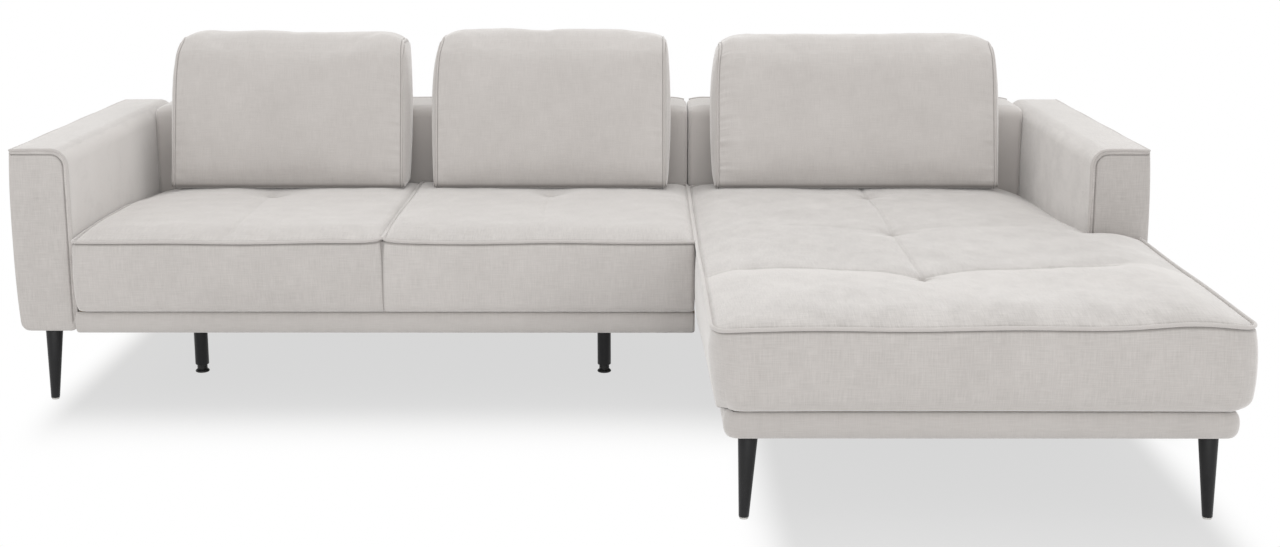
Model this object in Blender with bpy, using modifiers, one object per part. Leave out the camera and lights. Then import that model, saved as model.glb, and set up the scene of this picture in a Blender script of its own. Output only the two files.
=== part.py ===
"""Corner sofa: a two-seat section with the left arm, hooked to a chaise section with the right arm.

Frame: metres, +Z up. The origin is on the floor, at the middle of the sofa's plan box. +X runs to
the right of someone who looks at the sofa, and +Y from the chaise's front to the back.
"""
import math

import bmesh
import bpy
from mathutils import Vector

# Fits
FIT_GAP = 0.0003            # between pieces that touch
SLIDE_GAP = 0.0004          # round a stem that slides or a pin that turns
CUT_OVERRUN = 0.004         # how far a cutter passes the face it opens
MERGE_DISTANCE = 0.00001    # points closer than this are one point

# Main sizes of the sofa
SEAT_WIDTH = 0.755
CHAISE_WIDTH = 1.088        # with its arm
CHAISE_LENGTH = 1.750
SOFA_DEPTH = 0.970
SECTION_GAP = 0.002         # between the sofa section and the chaise section
ARM_WIDTH = 0.140
ARM_HEIGHT = 0.630
ARM_SETBACK = 0.038         # from the seat cushions' front to the arm's front
BACK_HEIGHT = 0.640
BACK_THICKNESS = 0.200
LEG_HEIGHT = 0.180          # floor to underside
SEAT_HEIGHT = 0.410         # floor to the seat cushions' top seam

# Seat base
BORDER_HEIGHT = 0.048
BORDER_THICKNESS = 0.028
BORDER_EDGE_RADIUS = 0.013
BORDER_CORNER_RADIUS = 0.026
BORDER_FRONT_SETBACK = 0.014
BORDER_SIDE_SETBACK = 0.030
RAIL_WIDTH = 0.045
DUST_COVER_THICKNESS = 0.0012
SPRING_WIRE = 0.0038
SPRING_PITCH = 0.060
SPRING_SWING = 0.024        # from the spring's middle line to the middle of a bend
SPRING_BEND_SHARES = (0.2, 0.8)     # of half a pitch: where a bend starts and ends
SUPPORT_SPREAD_SHARE = 0.698    # of a seat's width: from the seam between the seats to a support leg
SUPPORT_SETBACK = 0.297     # from the seat cushions' front to the support legs

# Arms and backs
COVER_WALL = 0.022          # foam and fabric round the wooden frame
FRAME_WALL = 0.018          # boards of the arm and back frames
ARM_INNER_RADIUS = 0.030
ARM_OUTER_RADIUS = 0.005
ARM_FOOT_RADIUS = 0.010
ARM_EDGE_RADIUS = 0.005
BACK_FRONT_RADIUS = 0.034
BACK_REAR_RADIUS = 0.016
BACK_FOOT_RADIUS = 0.016
BACK_END_RADIUS = 0.013     # smaller than the corner radii, so that the rim has room

# Seat cushions
SEAT_CROWN = 0.020
SEAT_CROWN_REACH = 0.130    # from the seam to the flat part of the crown
SEAT_BULGE = 0.008          # how far the boxing swells between its seams
SEAT_CORNER_RADIUS = 0.020
CHAISE_CORNER_RADIUS = 0.036
FOLD_DEPTH = 0.007
FOLD_REACH = 0.030
TUFT_DEPTH = 0.010
TUFT_REACH = 0.045
TUFT_SPACING = 0.458
TUFT_TO_BACK = 0.270        # from the back's front face to the chaise's rear tuft
SEAT_TUFT_MARGIN = 0.045    # from the loose cushion's front to the tuft on the seat

# Loose back cushions
BACK_CUSHION_HEIGHT = 0.415
BACK_CUSHION_THICKNESS = 0.145
BACK_CUSHION_LEAN = 0.100   # how far the top lies behind the bottom
BACK_CUSHION_CROWN = 0.014
BACK_CUSHION_TOP_CROWN = 0.008
BACK_CUSHION_DRAW_IN = 0.006
BACK_CUSHION_GUSSET_BULGE = 0.004
BACK_CUSHION_TOP_RADIUS = 0.042
BACK_CUSHION_EDGE_RADIUS = 0.016
LEFT_CUSHION_MARGINS = (0.096, 0.029)       # from its seat's left and right sides
MIDDLE_CUSHION_MARGINS = (0.053, 0.065)
RIGHT_CUSHION_MARGINS = (0.072, 0.106)

# Legs
LEG_TOP_RADIUS = 0.0205
LEG_BOTTOM_RADIUS = 0.0105
LEG_RAKE = 0.007            # how far the bottom stands out from the top, along X and along Y
LEG_FROM_RAIL_END = 0.024
STUD_RADIUS = 0.004
STUD_SHARE = 0.8            # of a frame board's thickness
GLIDE_HEIGHT = 0.004
GLIDE_INSET = 0.001
GLIDE_PIN_RADIUS = 0.002
GLIDE_PIN_LENGTH = 0.008
PLAIN_LEG_RADIUS = 0.0175
PLAIN_LEG_CHAMFER = 0.003
REAR_LEG_SETBACK = 0.075
REAR_LEG_FROM_END = 0.080
PAD_RADIUS = 0.018
PAD_HEIGHT = 0.007
PAD_TOP_RADIUS = 0.0150
PAD_FOOT_RADIUS = 0.0150
PAD_PIN_RADIUS = 0.004
PAD_FLOOR = 0.0025          # plastic left under the pin
STEM_RADIUS = 0.0135
NECK_HEIGHT = 0.0135        # bare stem between the pad and the tube
STEM_ENGAGEMENT = 0.030     # stem inside the tube

# Link between the two sections
LINK_WIDTH = 0.080
LINK_THICKNESS = 0.003
SCREW_RADIUS = 0.0022
SCREW_DEPTH = 0.020         # thread inside the rail
SCREW_HEAD_RADIUS = 0.0045
SCREW_HEAD_HEIGHT = 0.0025

# Counts
SPRINGS_PER_SEAT = 2
CHAISE_SPRINGS_PER_BAY = 2
CHAISE_TUFTS = 3
TURN_STEPS = 20
ARC_PIECES = 5

# Places across the sofa
OVERALL_WIDTH = ARM_WIDTH + 2 * SEAT_WIDTH + SECTION_GAP + CHAISE_WIDTH
X_LEFT = -OVERALL_WIDTH / 2
X_RIGHT = OVERALL_WIDTH / 2
X_LEFT_ARM = X_LEFT + ARM_WIDTH
X_SEAT_SPLIT = X_LEFT_ARM + SEAT_WIDTH
X_SOFA_END = X_SEAT_SPLIT + SEAT_WIDTH
X_CHAISE_START = X_SOFA_END + SECTION_GAP
X_RIGHT_ARM = X_RIGHT - ARM_WIDTH

# Places from front to back
Y_REAR = CHAISE_LENGTH / 2
Y_CHAISE_FRONT = -CHAISE_LENGTH / 2
Y_SOFA_FRONT = Y_REAR - SOFA_DEPTH
Y_ARM_FRONT = Y_SOFA_FRONT + ARM_SETBACK
Y_BACK_FRONT = Y_REAR - BACK_THICKNESS
Y_SOFA_BORDER = Y_SOFA_FRONT + BORDER_FRONT_SETBACK
Y_SOFA_RAIL = Y_SOFA_BORDER + BORDER_THICKNESS + FIT_GAP
Y_CHAISE_BORDER = Y_CHAISE_FRONT + BORDER_FRONT_SETBACK
Y_CHAISE_RAIL = Y_CHAISE_BORDER + BORDER_THICKNESS + FIT_GAP
Y_PLATFORM_REAR = Y_BACK_FRONT - FIT_GAP
X_CHAISE_RAIL_LEFT = X_CHAISE_START + BORDER_SIDE_SETBACK + BORDER_THICKNESS + FIT_GAP
X_CHAISE_RAIL_RIGHT = X_RIGHT - BORDER_SIDE_SETBACK - BORDER_THICKNESS - FIT_GAP

# Heights
Z_UNDER = LEG_HEIGHT
Z_RAIL_BOTTOM = Z_UNDER + DUST_COVER_THICKNESS + FIT_GAP
Z_RAIL_TOP = Z_UNDER + BORDER_HEIGHT
Z_CUSHION_BOTTOM = Z_RAIL_TOP + FIT_GAP + SPRING_WIRE + FIT_GAP
Z_SEAT_TOP = SEAT_HEIGHT + SEAT_CROWN
Z_STUD_TOP = Z_UNDER + FRAME_WALL * STUD_SHARE

# The loose cushions lean on the back's top front edge and stand on the flat of the crown.
Z_BACK_CUSHION = Z_SEAT_TOP + FIT_GAP
BACK_CUSHION_SLOPE = BACK_CUSHION_LEAN / BACK_CUSHION_HEIGHT
Y_BACK_CUSHION_REAR = Y_BACK_FRONT - FIT_GAP - BACK_CUSHION_SLOPE * (BACK_HEIGHT - Z_BACK_CUSHION)
Y_BACK_CUSHION_FRONT = Y_BACK_CUSHION_REAR - BACK_CUSHION_THICKNESS


# Scene, collections and materials

for old in list(bpy.data.objects):
    bpy.data.objects.remove(old, do_unlink=True)

parts = bpy.data.collections.new("corner_sofa")
cutters = bpy.data.collections.new("cutters")
bpy.context.scene.collection.children.link(parts)
bpy.context.scene.collection.children.link(cutters)


def material(name, colour, roughness, metallic=0.0):
    """A Principled material with one colour."""
    made = bpy.data.materials.new(name)
    made.use_nodes = True
    shader = made.node_tree.nodes["Principled BSDF"]
    shader.inputs["Base Color"].default_value = (*colour, 1.0)
    shader.inputs["Roughness"].default_value = roughness
    shader.inputs["Metallic"].default_value = metallic
    return made


upholstery = material("upholstery_fabric", (0.56, 0.53, 0.50), 0.90)
timber = material("frame_timber", (0.60, 0.45, 0.28), 0.70)
dust_cloth = material("dust_cloth", (0.05, 0.05, 0.05), 0.95)
black_metal = material("black_leg_metal", (0.025, 0.025, 0.025), 0.40, 0.3)
black_plastic = material("black_plastic", (0.02, 0.02, 0.02), 0.50)
pale_plastic = material("pale_glide_plastic", (0.62, 0.62, 0.60), 0.50)
spring_steel = material("spring_steel", (0.35, 0.35, 0.36), 0.40, 1.0)
zinc_steel = material("zinc_steel", (0.60, 0.60, 0.60), 0.35, 1.0)


# Ways of making a solid

def add_mesh(name, mesh, finish, collection=parts):
    """A mesh object in the parts collection, or a hidden cutter."""
    made = bpy.data.objects.new(name, mesh)
    collection.objects.link(made)
    if finish is not None:
        mesh.materials.append(finish)
    if collection is cutters:
        made.hide_render = True
        made.display_type = "WIRE"
    return made


def add_box(name, low, high, finish, collection=parts):
    """A box between two corners, from a unit cube, placed by its location."""
    size = Vector(high) - Vector(low)
    work = bmesh.new()
    bmesh.ops.create_cube(work, size=1.0)
    bmesh.ops.scale(work, vec=size, verts=work.verts)
    mesh = bpy.data.meshes.new(name)
    work.to_mesh(mesh)
    work.free()
    made = add_mesh(name, mesh, finish, collection)
    made.location = (Vector(high) + Vector(low)) / 2
    return made


def add_turned(name, profile, place, finish, collection=parts):
    """A turned shape: (radius, height) points from the top down the outer side, with a Screw."""
    mesh = bpy.data.meshes.new(name)
    points = [(radius, 0.0, height) for radius, height in profile]
    mesh.from_pydata(points, [(i, i + 1) for i in range(len(points) - 1)], [])
    made = add_mesh(name, mesh, finish, collection)
    made.location = place
    turn = made.modifiers.new("turn", "SCREW")
    turn.steps = TURN_STEPS
    turn.render_steps = TURN_STEPS
    turn.use_merge_vertices = True
    turn.merge_threshold = MERGE_DISTANCE
    turn.use_smooth_shade = True
    return made


def realised(made):
    """The object with its modifiers or curve turned into a welded mesh, under the same name."""
    bpy.context.view_layer.update()
    evaluated = made.evaluated_get(bpy.context.evaluated_depsgraph_get())
    mesh = bpy.data.meshes.new_from_object(evaluated)
    work = bmesh.new()
    work.from_mesh(mesh)
    bmesh.ops.remove_doubles(work, verts=work.verts, dist=MERGE_DISTANCE)
    bmesh.ops.recalc_face_normals(work, faces=work.faces)
    work.to_mesh(mesh)
    work.free()
    name = made.name
    placed = made.matrix_world.copy()
    collection = made.users_collection[0]
    bpy.data.objects.remove(made, do_unlink=True)
    mesh.name = name
    solid = bpy.data.objects.new(name, mesh)
    collection.objects.link(solid)
    solid.matrix_world = placed
    return solid


def arc_outline(corners):
    """A closed outline from (a, b, radius) corners, each square corner replaced by an arc."""
    points = []
    for i, (a, b, radius) in enumerate(corners):
        corner = Vector((a, b))
        if radius == 0:
            points.append(corner)
            continue
        before = Vector(corners[i - 1][:2]) - corner
        after = Vector(corners[(i + 1) % len(corners)][:2]) - corner
        before.normalize()
        after.normalize()
        centre = corner + (before + after) * radius
        for step in range(ARC_PIECES + 1):
            angle = math.pi / 2 * step / ARC_PIECES
            points.append(centre - after * radius * math.cos(angle) - before * radius * math.sin(angle))
    return points


def add_outline(name, corners, length, edge_radius, place, turned, finish):
    """A flat outline extruded along its own Z by length, its two rims rounded by edge_radius."""
    curve = bpy.data.curves.new(name, "CURVE")
    curve.dimensions = "2D"
    curve.fill_mode = "BOTH"
    curve.extrude = length / 2 - edge_radius
    curve.bevel_depth = edge_radius
    curve.bevel_resolution = 1
    curve.offset = -edge_radius
    points = arc_outline(corners)
    spline = curve.splines.new("POLY")
    spline.points.add(len(points) - 1)
    for point, (a, b) in zip(spline.points, points):
        point.co = (a, b, 0.0, 1.0)
    spline.use_cyclic_u = True
    curve.materials.append(finish)
    made = bpy.data.objects.new(name, curve)
    parts.objects.link(made)
    made.location = place
    made.rotation_euler = turned
    return realised(made)


def cut(target, cutter):
    """Take the cutter's shape out of the target with a live Boolean."""
    opening = target.modifiers.new("cut", "BOOLEAN")
    opening.operation = "DIFFERENCE"
    opening.object = cutter


# Outlines that are drawn across X and Z, and along Y and Z
FACING_FRONT = (math.pi / 2, 0.0, 0.0)
FACING_SIDE = (math.pi / 2, 0.0, math.pi / 2)
LYING_FLAT = (0.0, 0.0, 0.0)


# Holes for the leg studs and the link screws

def hole_group(name, places, radius, bottom, top):
    """One cutter with a round hole at each (x, y) place."""
    work = bmesh.new()
    for x, y in places:
        made = bmesh.ops.create_cone(
            work, cap_ends=True, segments=TURN_STEPS, radius1=radius, radius2=radius, depth=top - bottom)
        bmesh.ops.translate(work, vec=(x, y, (top + bottom) / 2), verts=made["verts"])
    mesh = bpy.data.meshes.new(name)
    work.to_mesh(mesh)
    work.free()
    return add_mesh(name, mesh, None, cutters)


Y_ARM_LEG = Y_ARM_FRONT + COVER_WALL + FIT_GAP + FRAME_WALL / 2
Y_CHAISE_LEG = Y_CHAISE_RAIL + RAIL_WIDTH / 2
Y_REAR_LEG = Y_REAR - REAR_LEG_SETBACK
Y_SUPPORT = Y_SOFA_FRONT + SUPPORT_SETBACK
X_LEFT_ARM_MIDDLE = X_LEFT + ARM_WIDTH / 2
X_RIGHT_ARM_MIDDLE = X_RIGHT - ARM_WIDTH / 2

# Tapered legs: where the top stands, and which way the bottom rakes
TAPERED_LEGS = {
    "left_arm": ((X_LEFT_ARM_MIDDLE, Y_ARM_LEG), -1),
    "chaise_left": ((X_CHAISE_RAIL_LEFT + LEG_FROM_RAIL_END, Y_CHAISE_LEG), -1),
    "chaise_right": ((X_CHAISE_RAIL_RIGHT - LEG_FROM_RAIL_END, Y_CHAISE_LEG), 1),
}
REAR_LEGS = {
    "sofa_rear_left": (X_LEFT_ARM_MIDDLE, Y_REAR_LEG),
    "sofa_rear_right": (X_SOFA_END - REAR_LEG_FROM_END, Y_REAR_LEG),
    "chaise_rear_left": (X_CHAISE_START + REAR_LEG_FROM_END, Y_REAR_LEG),
    "chaise_rear_right": (X_RIGHT_ARM_MIDDLE, Y_REAR_LEG),
}
SUPPORT_LEGS = {
    "left": (X_SEAT_SPLIT - SEAT_WIDTH * SUPPORT_SPREAD_SHARE, Y_SUPPORT),
    "right": (X_SEAT_SPLIT + SEAT_WIDTH * SUPPORT_SPREAD_SHARE, Y_SUPPORT),
}

stud_places = [place for place, _ in TAPERED_LEGS.values()]
stud_places += list(REAR_LEGS.values()) + list(SUPPORT_LEGS.values())
stud_holes = hole_group(
    "stud_holes", stud_places, STUD_RADIUS + FIT_GAP, Z_UNDER - CUT_OVERRUN, Z_STUD_TOP + FIT_GAP)

# The link lies under the sofa's right rail and the chaise's left rail, with a screw into each.
Y_LINK = (Y_SOFA_RAIL + Y_PLATFORM_REAR) / 2
LINK_SCREWS = {
    "sofa": (X_SOFA_END - RAIL_WIDTH / 2, Y_LINK),
    "chaise": (X_CHAISE_RAIL_LEFT + RAIL_WIDTH / 2, Y_LINK),
}
Z_LINK_TOP = Z_UNDER - FIT_GAP
Z_LINK_BOTTOM = Z_LINK_TOP - LINK_THICKNESS
screw_holes = hole_group(
    "screw_holes", LINK_SCREWS.values(), SCREW_RADIUS + FIT_GAP, Z_LINK_BOTTOM - CUT_OVERRUN,
    Z_RAIL_BOTTOM + SCREW_DEPTH + FIT_GAP)


# Arms: a hollow padded cover over an open-topped timber box whose floor takes the legs

def add_frame(name, cover, low, high):
    """Hollow the cover from below and stand the frame box in it. low and high are the cover's box."""
    wall = Vector((COVER_WALL, COVER_WALL, COVER_WALL))
    inner_low = Vector(low) + wall
    inner_high = Vector(high) - wall
    cavity = add_box(
        name + "_cavity", (inner_low.x, inner_low.y, low[2] - CUT_OVERRUN), inner_high, None, cutters)
    cut(cover, cavity)
    gap = Vector((FIT_GAP, FIT_GAP, FIT_GAP))
    board = Vector((FRAME_WALL, FRAME_WALL, FRAME_WALL))
    frame_low = Vector((inner_low.x, inner_low.y, low[2])) + Vector((FIT_GAP, FIT_GAP, 0.0))
    frame_high = inner_high - gap
    frame = add_box(name + "_frame", frame_low, frame_high, timber)
    hollow_high = frame_high - board
    hollow_high.z = frame_high.z + CUT_OVERRUN
    hollow = add_box(name + "_hollow", frame_low + board, hollow_high, None, cutters)
    cut(frame, hollow)
    cut(frame, stud_holes)


def add_arm(name, outer, inner):
    """An arm between its outer and inner faces, square outside and rounded inside at the top."""
    side = 1 if inner > outer else -1
    middle = (outer + inner) / 2
    half = abs(inner - outer) / 2 - FIT_GAP / 2
    corners = [
        (-side * half, Z_UNDER, ARM_FOOT_RADIUS),
        (side * half, Z_UNDER, ARM_FOOT_RADIUS),
        (side * half, ARM_HEIGHT, ARM_INNER_RADIUS),
        (-side * half, ARM_HEIGHT, ARM_OUTER_RADIUS),
    ]
    place_x = middle - side * FIT_GAP / 2
    length = Y_REAR - Y_ARM_FRONT
    cover = add_outline(
        name + "_cover", corners, length, ARM_EDGE_RADIUS,
        (place_x, (Y_REAR + Y_ARM_FRONT) / 2, 0.0), FACING_FRONT, upholstery)
    add_frame(name, cover, (place_x - half, Y_ARM_FRONT, Z_UNDER), (place_x + half, Y_REAR, ARM_HEIGHT))


add_arm("left_arm", X_LEFT, X_LEFT_ARM)
add_arm("right_arm", X_RIGHT, X_RIGHT_ARM)


# Backs: two sections that stand between the arms, with a rounded top front edge

def add_back(name, left, right):
    """A back section from left to right, hollow like the arms."""
    low_x = left + FIT_GAP
    high_x = right - FIT_GAP
    corners = [
        (Y_BACK_FRONT, Z_UNDER, BACK_FOOT_RADIUS),
        (Y_REAR, Z_UNDER, BACK_FOOT_RADIUS),
        (Y_REAR, BACK_HEIGHT, BACK_REAR_RADIUS),
        (Y_BACK_FRONT, BACK_HEIGHT, BACK_FRONT_RADIUS),
    ]
    cover = add_outline(
        name + "_cover", corners, high_x - low_x, BACK_END_RADIUS,
        ((low_x + high_x) / 2, 0.0, 0.0), FACING_SIDE, upholstery)
    add_frame(name, cover, (low_x, Y_BACK_FRONT, Z_UNDER), (high_x, Y_REAR, BACK_HEIGHT))


add_back("sofa_back", X_LEFT_ARM, X_SOFA_END)
add_back("chaise_back", X_CHAISE_START, X_RIGHT_ARM)


# Borders: the padded roll that hides the rails, one strip in front of the sofa, three round the chaise

def add_border(name, left, right, front, rear, front_corner_radius):
    """A strip of the padded roll, between its four sides in plan."""
    corners = [
        (left, front, front_corner_radius),
        (right, front, front_corner_radius),
        (right, rear, 0.0),
        (left, rear, 0.0),
    ]
    add_outline(
        name, corners, BORDER_HEIGHT, BORDER_EDGE_RADIUS,
        (0.0, 0.0, Z_UNDER + BORDER_HEIGHT / 2), LYING_FLAT, upholstery)


X_CHAISE_BORDER_LEFT = X_CHAISE_START + BORDER_SIDE_SETBACK
X_CHAISE_BORDER_RIGHT = X_RIGHT - BORDER_SIDE_SETBACK
add_border("sofa_border", X_LEFT_ARM + FIT_GAP, X_SOFA_END, Y_SOFA_BORDER,
           Y_SOFA_BORDER + BORDER_THICKNESS, 0.0)
add_border("chaise_front_border", X_CHAISE_BORDER_LEFT, X_CHAISE_BORDER_RIGHT, Y_CHAISE_BORDER,
           Y_CHAISE_BORDER + BORDER_THICKNESS, BORDER_CORNER_RADIUS)
add_border("chaise_left_border", X_CHAISE_BORDER_LEFT, X_CHAISE_BORDER_LEFT + BORDER_THICKNESS,
           Y_CHAISE_RAIL, Y_PLATFORM_REAR, 0.0)
add_border("chaise_right_border", X_CHAISE_BORDER_RIGHT - BORDER_THICKNESS, X_CHAISE_BORDER_RIGHT,
           Y_CHAISE_RAIL, Y_ARM_FRONT - FIT_GAP, 0.0)


# Rails: the timber frames of the two platforms

def add_rail(name, left, right, front, rear):
    """A rail between its four sides in plan."""
    return add_box(name, (left, front, Z_RAIL_BOTTOM), (right, rear, Z_RAIL_TOP), timber)


SOFA_RAIL_LEFT = X_LEFT_ARM + FIT_GAP
SOFA_RAIL_REAR = Y_PLATFORM_REAR - RAIL_WIDTH
SOFA_INNER_FRONT = Y_SOFA_RAIL + RAIL_WIDTH + FIT_GAP
SOFA_INNER_REAR = SOFA_RAIL_REAR - FIT_GAP
add_rail("sofa_front_rail", SOFA_RAIL_LEFT, X_SOFA_END, Y_SOFA_RAIL, Y_SOFA_RAIL + RAIL_WIDTH)
add_rail("sofa_rear_rail", SOFA_RAIL_LEFT, X_SOFA_END, SOFA_RAIL_REAR, Y_PLATFORM_REAR)
add_rail("sofa_left_rail", SOFA_RAIL_LEFT, SOFA_RAIL_LEFT + RAIL_WIDTH, SOFA_INNER_FRONT, SOFA_INNER_REAR)
sofa_right_rail = add_rail(
    "sofa_right_rail", X_SOFA_END - RAIL_WIDTH, X_SOFA_END, SOFA_INNER_FRONT, SOFA_INNER_REAR)
cut(sofa_right_rail, screw_holes)
for side, (x, _) in SUPPORT_LEGS.items():
    cross_rail = add_rail(
        "sofa_cross_rail_" + side, x - RAIL_WIDTH / 2, x + RAIL_WIDTH / 2, SOFA_INNER_FRONT, SOFA_INNER_REAR)
    cut(cross_rail, stud_holes)

CHAISE_INNER_FRONT = Y_CHAISE_RAIL + RAIL_WIDTH + FIT_GAP
CHAISE_INNER_LEFT = X_CHAISE_RAIL_LEFT + RAIL_WIDTH + FIT_GAP
CROSS_RAIL_REAR = Y_ARM_FRONT - FIT_GAP
CROSS_RAIL_FRONT = CROSS_RAIL_REAR - RAIL_WIDTH
INNER_RAIL_RIGHT = X_RIGHT_ARM - FIT_GAP
INNER_RAIL_LEFT = INNER_RAIL_RIGHT - RAIL_WIDTH
chaise_front_rail = add_rail(
    "chaise_front_rail", X_CHAISE_RAIL_LEFT, X_CHAISE_RAIL_RIGHT, Y_CHAISE_RAIL, Y_CHAISE_RAIL + RAIL_WIDTH)
cut(chaise_front_rail, stud_holes)
chaise_left_rail = add_rail(
    "chaise_left_rail", X_CHAISE_RAIL_LEFT, X_CHAISE_RAIL_LEFT + RAIL_WIDTH, CHAISE_INNER_FRONT,
    Y_PLATFORM_REAR)
cut(chaise_left_rail, screw_holes)
add_rail("chaise_outer_rail", X_CHAISE_RAIL_RIGHT - RAIL_WIDTH, X_CHAISE_RAIL_RIGHT, CHAISE_INNER_FRONT,
         CROSS_RAIL_FRONT - FIT_GAP)
add_rail("chaise_cross_rail", CHAISE_INNER_LEFT, X_CHAISE_RAIL_RIGHT, CROSS_RAIL_FRONT, CROSS_RAIL_REAR)
add_rail("chaise_inner_rail", INNER_RAIL_LEFT, INNER_RAIL_RIGHT, CROSS_RAIL_REAR + FIT_GAP, Y_PLATFORM_REAR)
add_rail("chaise_rear_rail", CHAISE_INNER_LEFT, INNER_RAIL_LEFT - FIT_GAP, SOFA_RAIL_REAR, Y_PLATFORM_REAR)


# Dust covers: thin black cloth tacked under the platforms

def add_dust_cover(name, left, right, front, rear):
    """A sheet of dust cloth between its four sides in plan, pierced by studs and screws."""
    cloth = add_box(
        name, (left, front, Z_UNDER), (right, rear, Z_UNDER + DUST_COVER_THICKNESS), dust_cloth)
    cut(cloth, stud_holes)
    cut(cloth, screw_holes)


add_dust_cover("sofa_dust_cover", SOFA_RAIL_LEFT, X_SOFA_END, Y_SOFA_RAIL, Y_PLATFORM_REAR)
add_dust_cover("chaise_front_dust_cover", X_CHAISE_RAIL_LEFT, X_CHAISE_RAIL_RIGHT, Y_CHAISE_RAIL,
               CROSS_RAIL_REAR)
add_dust_cover("chaise_rear_dust_cover", X_CHAISE_RAIL_LEFT, INNER_RAIL_RIGHT, CROSS_RAIL_REAR + FIT_GAP,
               Y_PLATFORM_REAR)


# Sinuous springs, stapled on top of the rails

def add_spring(name, start, end):
    """A flat zigzag wire between two (x, y) ends that lie on the rails."""
    start = Vector(start)
    run = Vector(end) - start
    along = run.normalized()
    across = Vector((-along.y, along.x))
    straight = RAIL_WIDTH
    bends = 2 * round((run.length - 2 * straight) / SPRING_PITCH)
    step = (run.length - 2 * straight) / bends
    points = [start]
    for bend in range(bends):
        swing = SPRING_SWING if bend % 2 else -SPRING_SWING
        for share in SPRING_BEND_SHARES:
            points.append(start + along * (straight + step * (bend + share)) + across * swing)
    points.append(start + run)
    curve = bpy.data.curves.new(name, "CURVE")
    curve.dimensions = "3D"
    curve.bevel_depth = SPRING_WIRE / 2
    curve.bevel_resolution = 0
    curve.use_fill_caps = True
    spline = curve.splines.new("POLY")
    spline.points.add(len(points) - 1)
    for target, point in zip(spline.points, points):
        target.co = (point.x, point.y, 0.0, 1.0)
    curve.materials.append(spring_steel)
    made = bpy.data.objects.new(name, curve)
    parts.objects.link(made)
    made.location = (0.0, 0.0, Z_RAIL_TOP + FIT_GAP + SPRING_WIRE / 2)
    realised(made)


SPRING_SPACING = SEAT_WIDTH / SPRINGS_PER_SEAT
for i in range(2 * SPRINGS_PER_SEAT):
    x = X_LEFT_ARM + SPRING_SPACING * (i + 0.5)
    add_spring("sofa_spring_%d" % (i + 1), (x, Y_SOFA_RAIL + RAIL_WIDTH / 2),
               (x, Y_PLATFORM_REAR - RAIL_WIDTH / 2))

CHAISE_BAYS = (
    (CHAISE_INNER_FRONT, CROSS_RAIL_FRONT, X_CHAISE_RAIL_RIGHT - RAIL_WIDTH / 2),
    (CROSS_RAIL_REAR, SOFA_RAIL_REAR, INNER_RAIL_RIGHT - RAIL_WIDTH / 2),
)
for bay, (front, rear, right) in enumerate(CHAISE_BAYS):
    for i in range(CHAISE_SPRINGS_PER_BAY):
        y = front + (rear - front) * (i + 0.5) / CHAISE_SPRINGS_PER_BAY
        number = bay * CHAISE_SPRINGS_PER_BAY + i + 1
        add_spring("chaise_spring_%d" % number, (X_CHAISE_RAIL_LEFT + RAIL_WIDTH / 2, y), (right, y))


# Cushion forms: a box cut into a grid, each point then moved by a rule

def spread(start, end, pieces):
    """Places that divide start to end into equal pieces, both ends left out."""
    return [start + (end - start) * i / pieces for i in range(1, pieces)]


def crease_cuts(places, reach):
    """Grid lines on each crease and on both its flanks."""
    return [place + reach * flank for place in places for flank in (-1, -0.5, 0, 0.5, 1)]


def edge_cuts(low, high, radius):
    """Grid lines that give the rounded corners at both ends two steps each."""
    return [low + radius / 2, low + radius, high - radius, high - radius / 2]


def soft_solid(name, low, high, cuts, move, flat_bottom):
    """A closed solid from a box that is cut at the places given for X, Y and Z, then moved."""
    low = Vector(low)
    high = Vector(high)
    work = bmesh.new()
    bmesh.ops.create_cube(work, size=1.0)
    bmesh.ops.scale(work, vec=high - low, verts=work.verts)
    bmesh.ops.translate(work, vec=(low + high) / 2, verts=work.verts)
    for axis in range(3):
        normal = Vector((0.0, 0.0, 0.0))
        normal[axis] = 1.0
        for place in cuts[axis]:
            point = low.copy()
            point[axis] = place
            everything = work.verts[:] + work.edges[:] + work.faces[:]
            bmesh.ops.bisect_plane(
                work, geom=everything, dist=MERGE_DISTANCE, plane_co=point, plane_no=normal)
    if flat_bottom:
        under = [face for face in work.faces if all(v.co.z < low.z + MERGE_DISTANCE for v in face.verts)]
        bmesh.ops.dissolve_faces(work, faces=under)
    for vertex in work.verts:
        vertex.co = move(*vertex.co)
    mesh = bpy.data.meshes.new(name)
    work.to_mesh(mesh)
    work.free()
    mesh.shade_smooth()
    return add_mesh(name, mesh, upholstery)


def rounded(a, b, rectangle, radii):
    """Draw the four corner squares of a rectangle in to quarter circles.

    The radii are for the corners low-low, high-low, low-high and high-high.
    """
    low_a, high_a, low_b, high_b = rectangle
    past_a = a > (low_a + high_a) / 2
    past_b = b > (low_b + high_b) / 2
    radius = radii[past_a + 2 * past_b]
    centre_a = high_a - radius if past_a else low_a + radius
    centre_b = high_b - radius if past_b else low_b + radius
    run_a = a - centre_a if past_a else centre_a - a
    run_b = b - centre_b if past_b else centre_b - b
    if run_a <= 0 or run_b <= 0:
        return a, b
    factor = max(run_a, run_b) / math.hypot(run_a, run_b)
    return centre_a + (a - centre_a) * factor, centre_b + (b - centre_b) * factor


def crease(distance, reach):
    """1 on a crease and 0 past its reach, with a sharp bottom."""
    return max(0.0, 1.0 - abs(distance) / reach) ** 2


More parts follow.
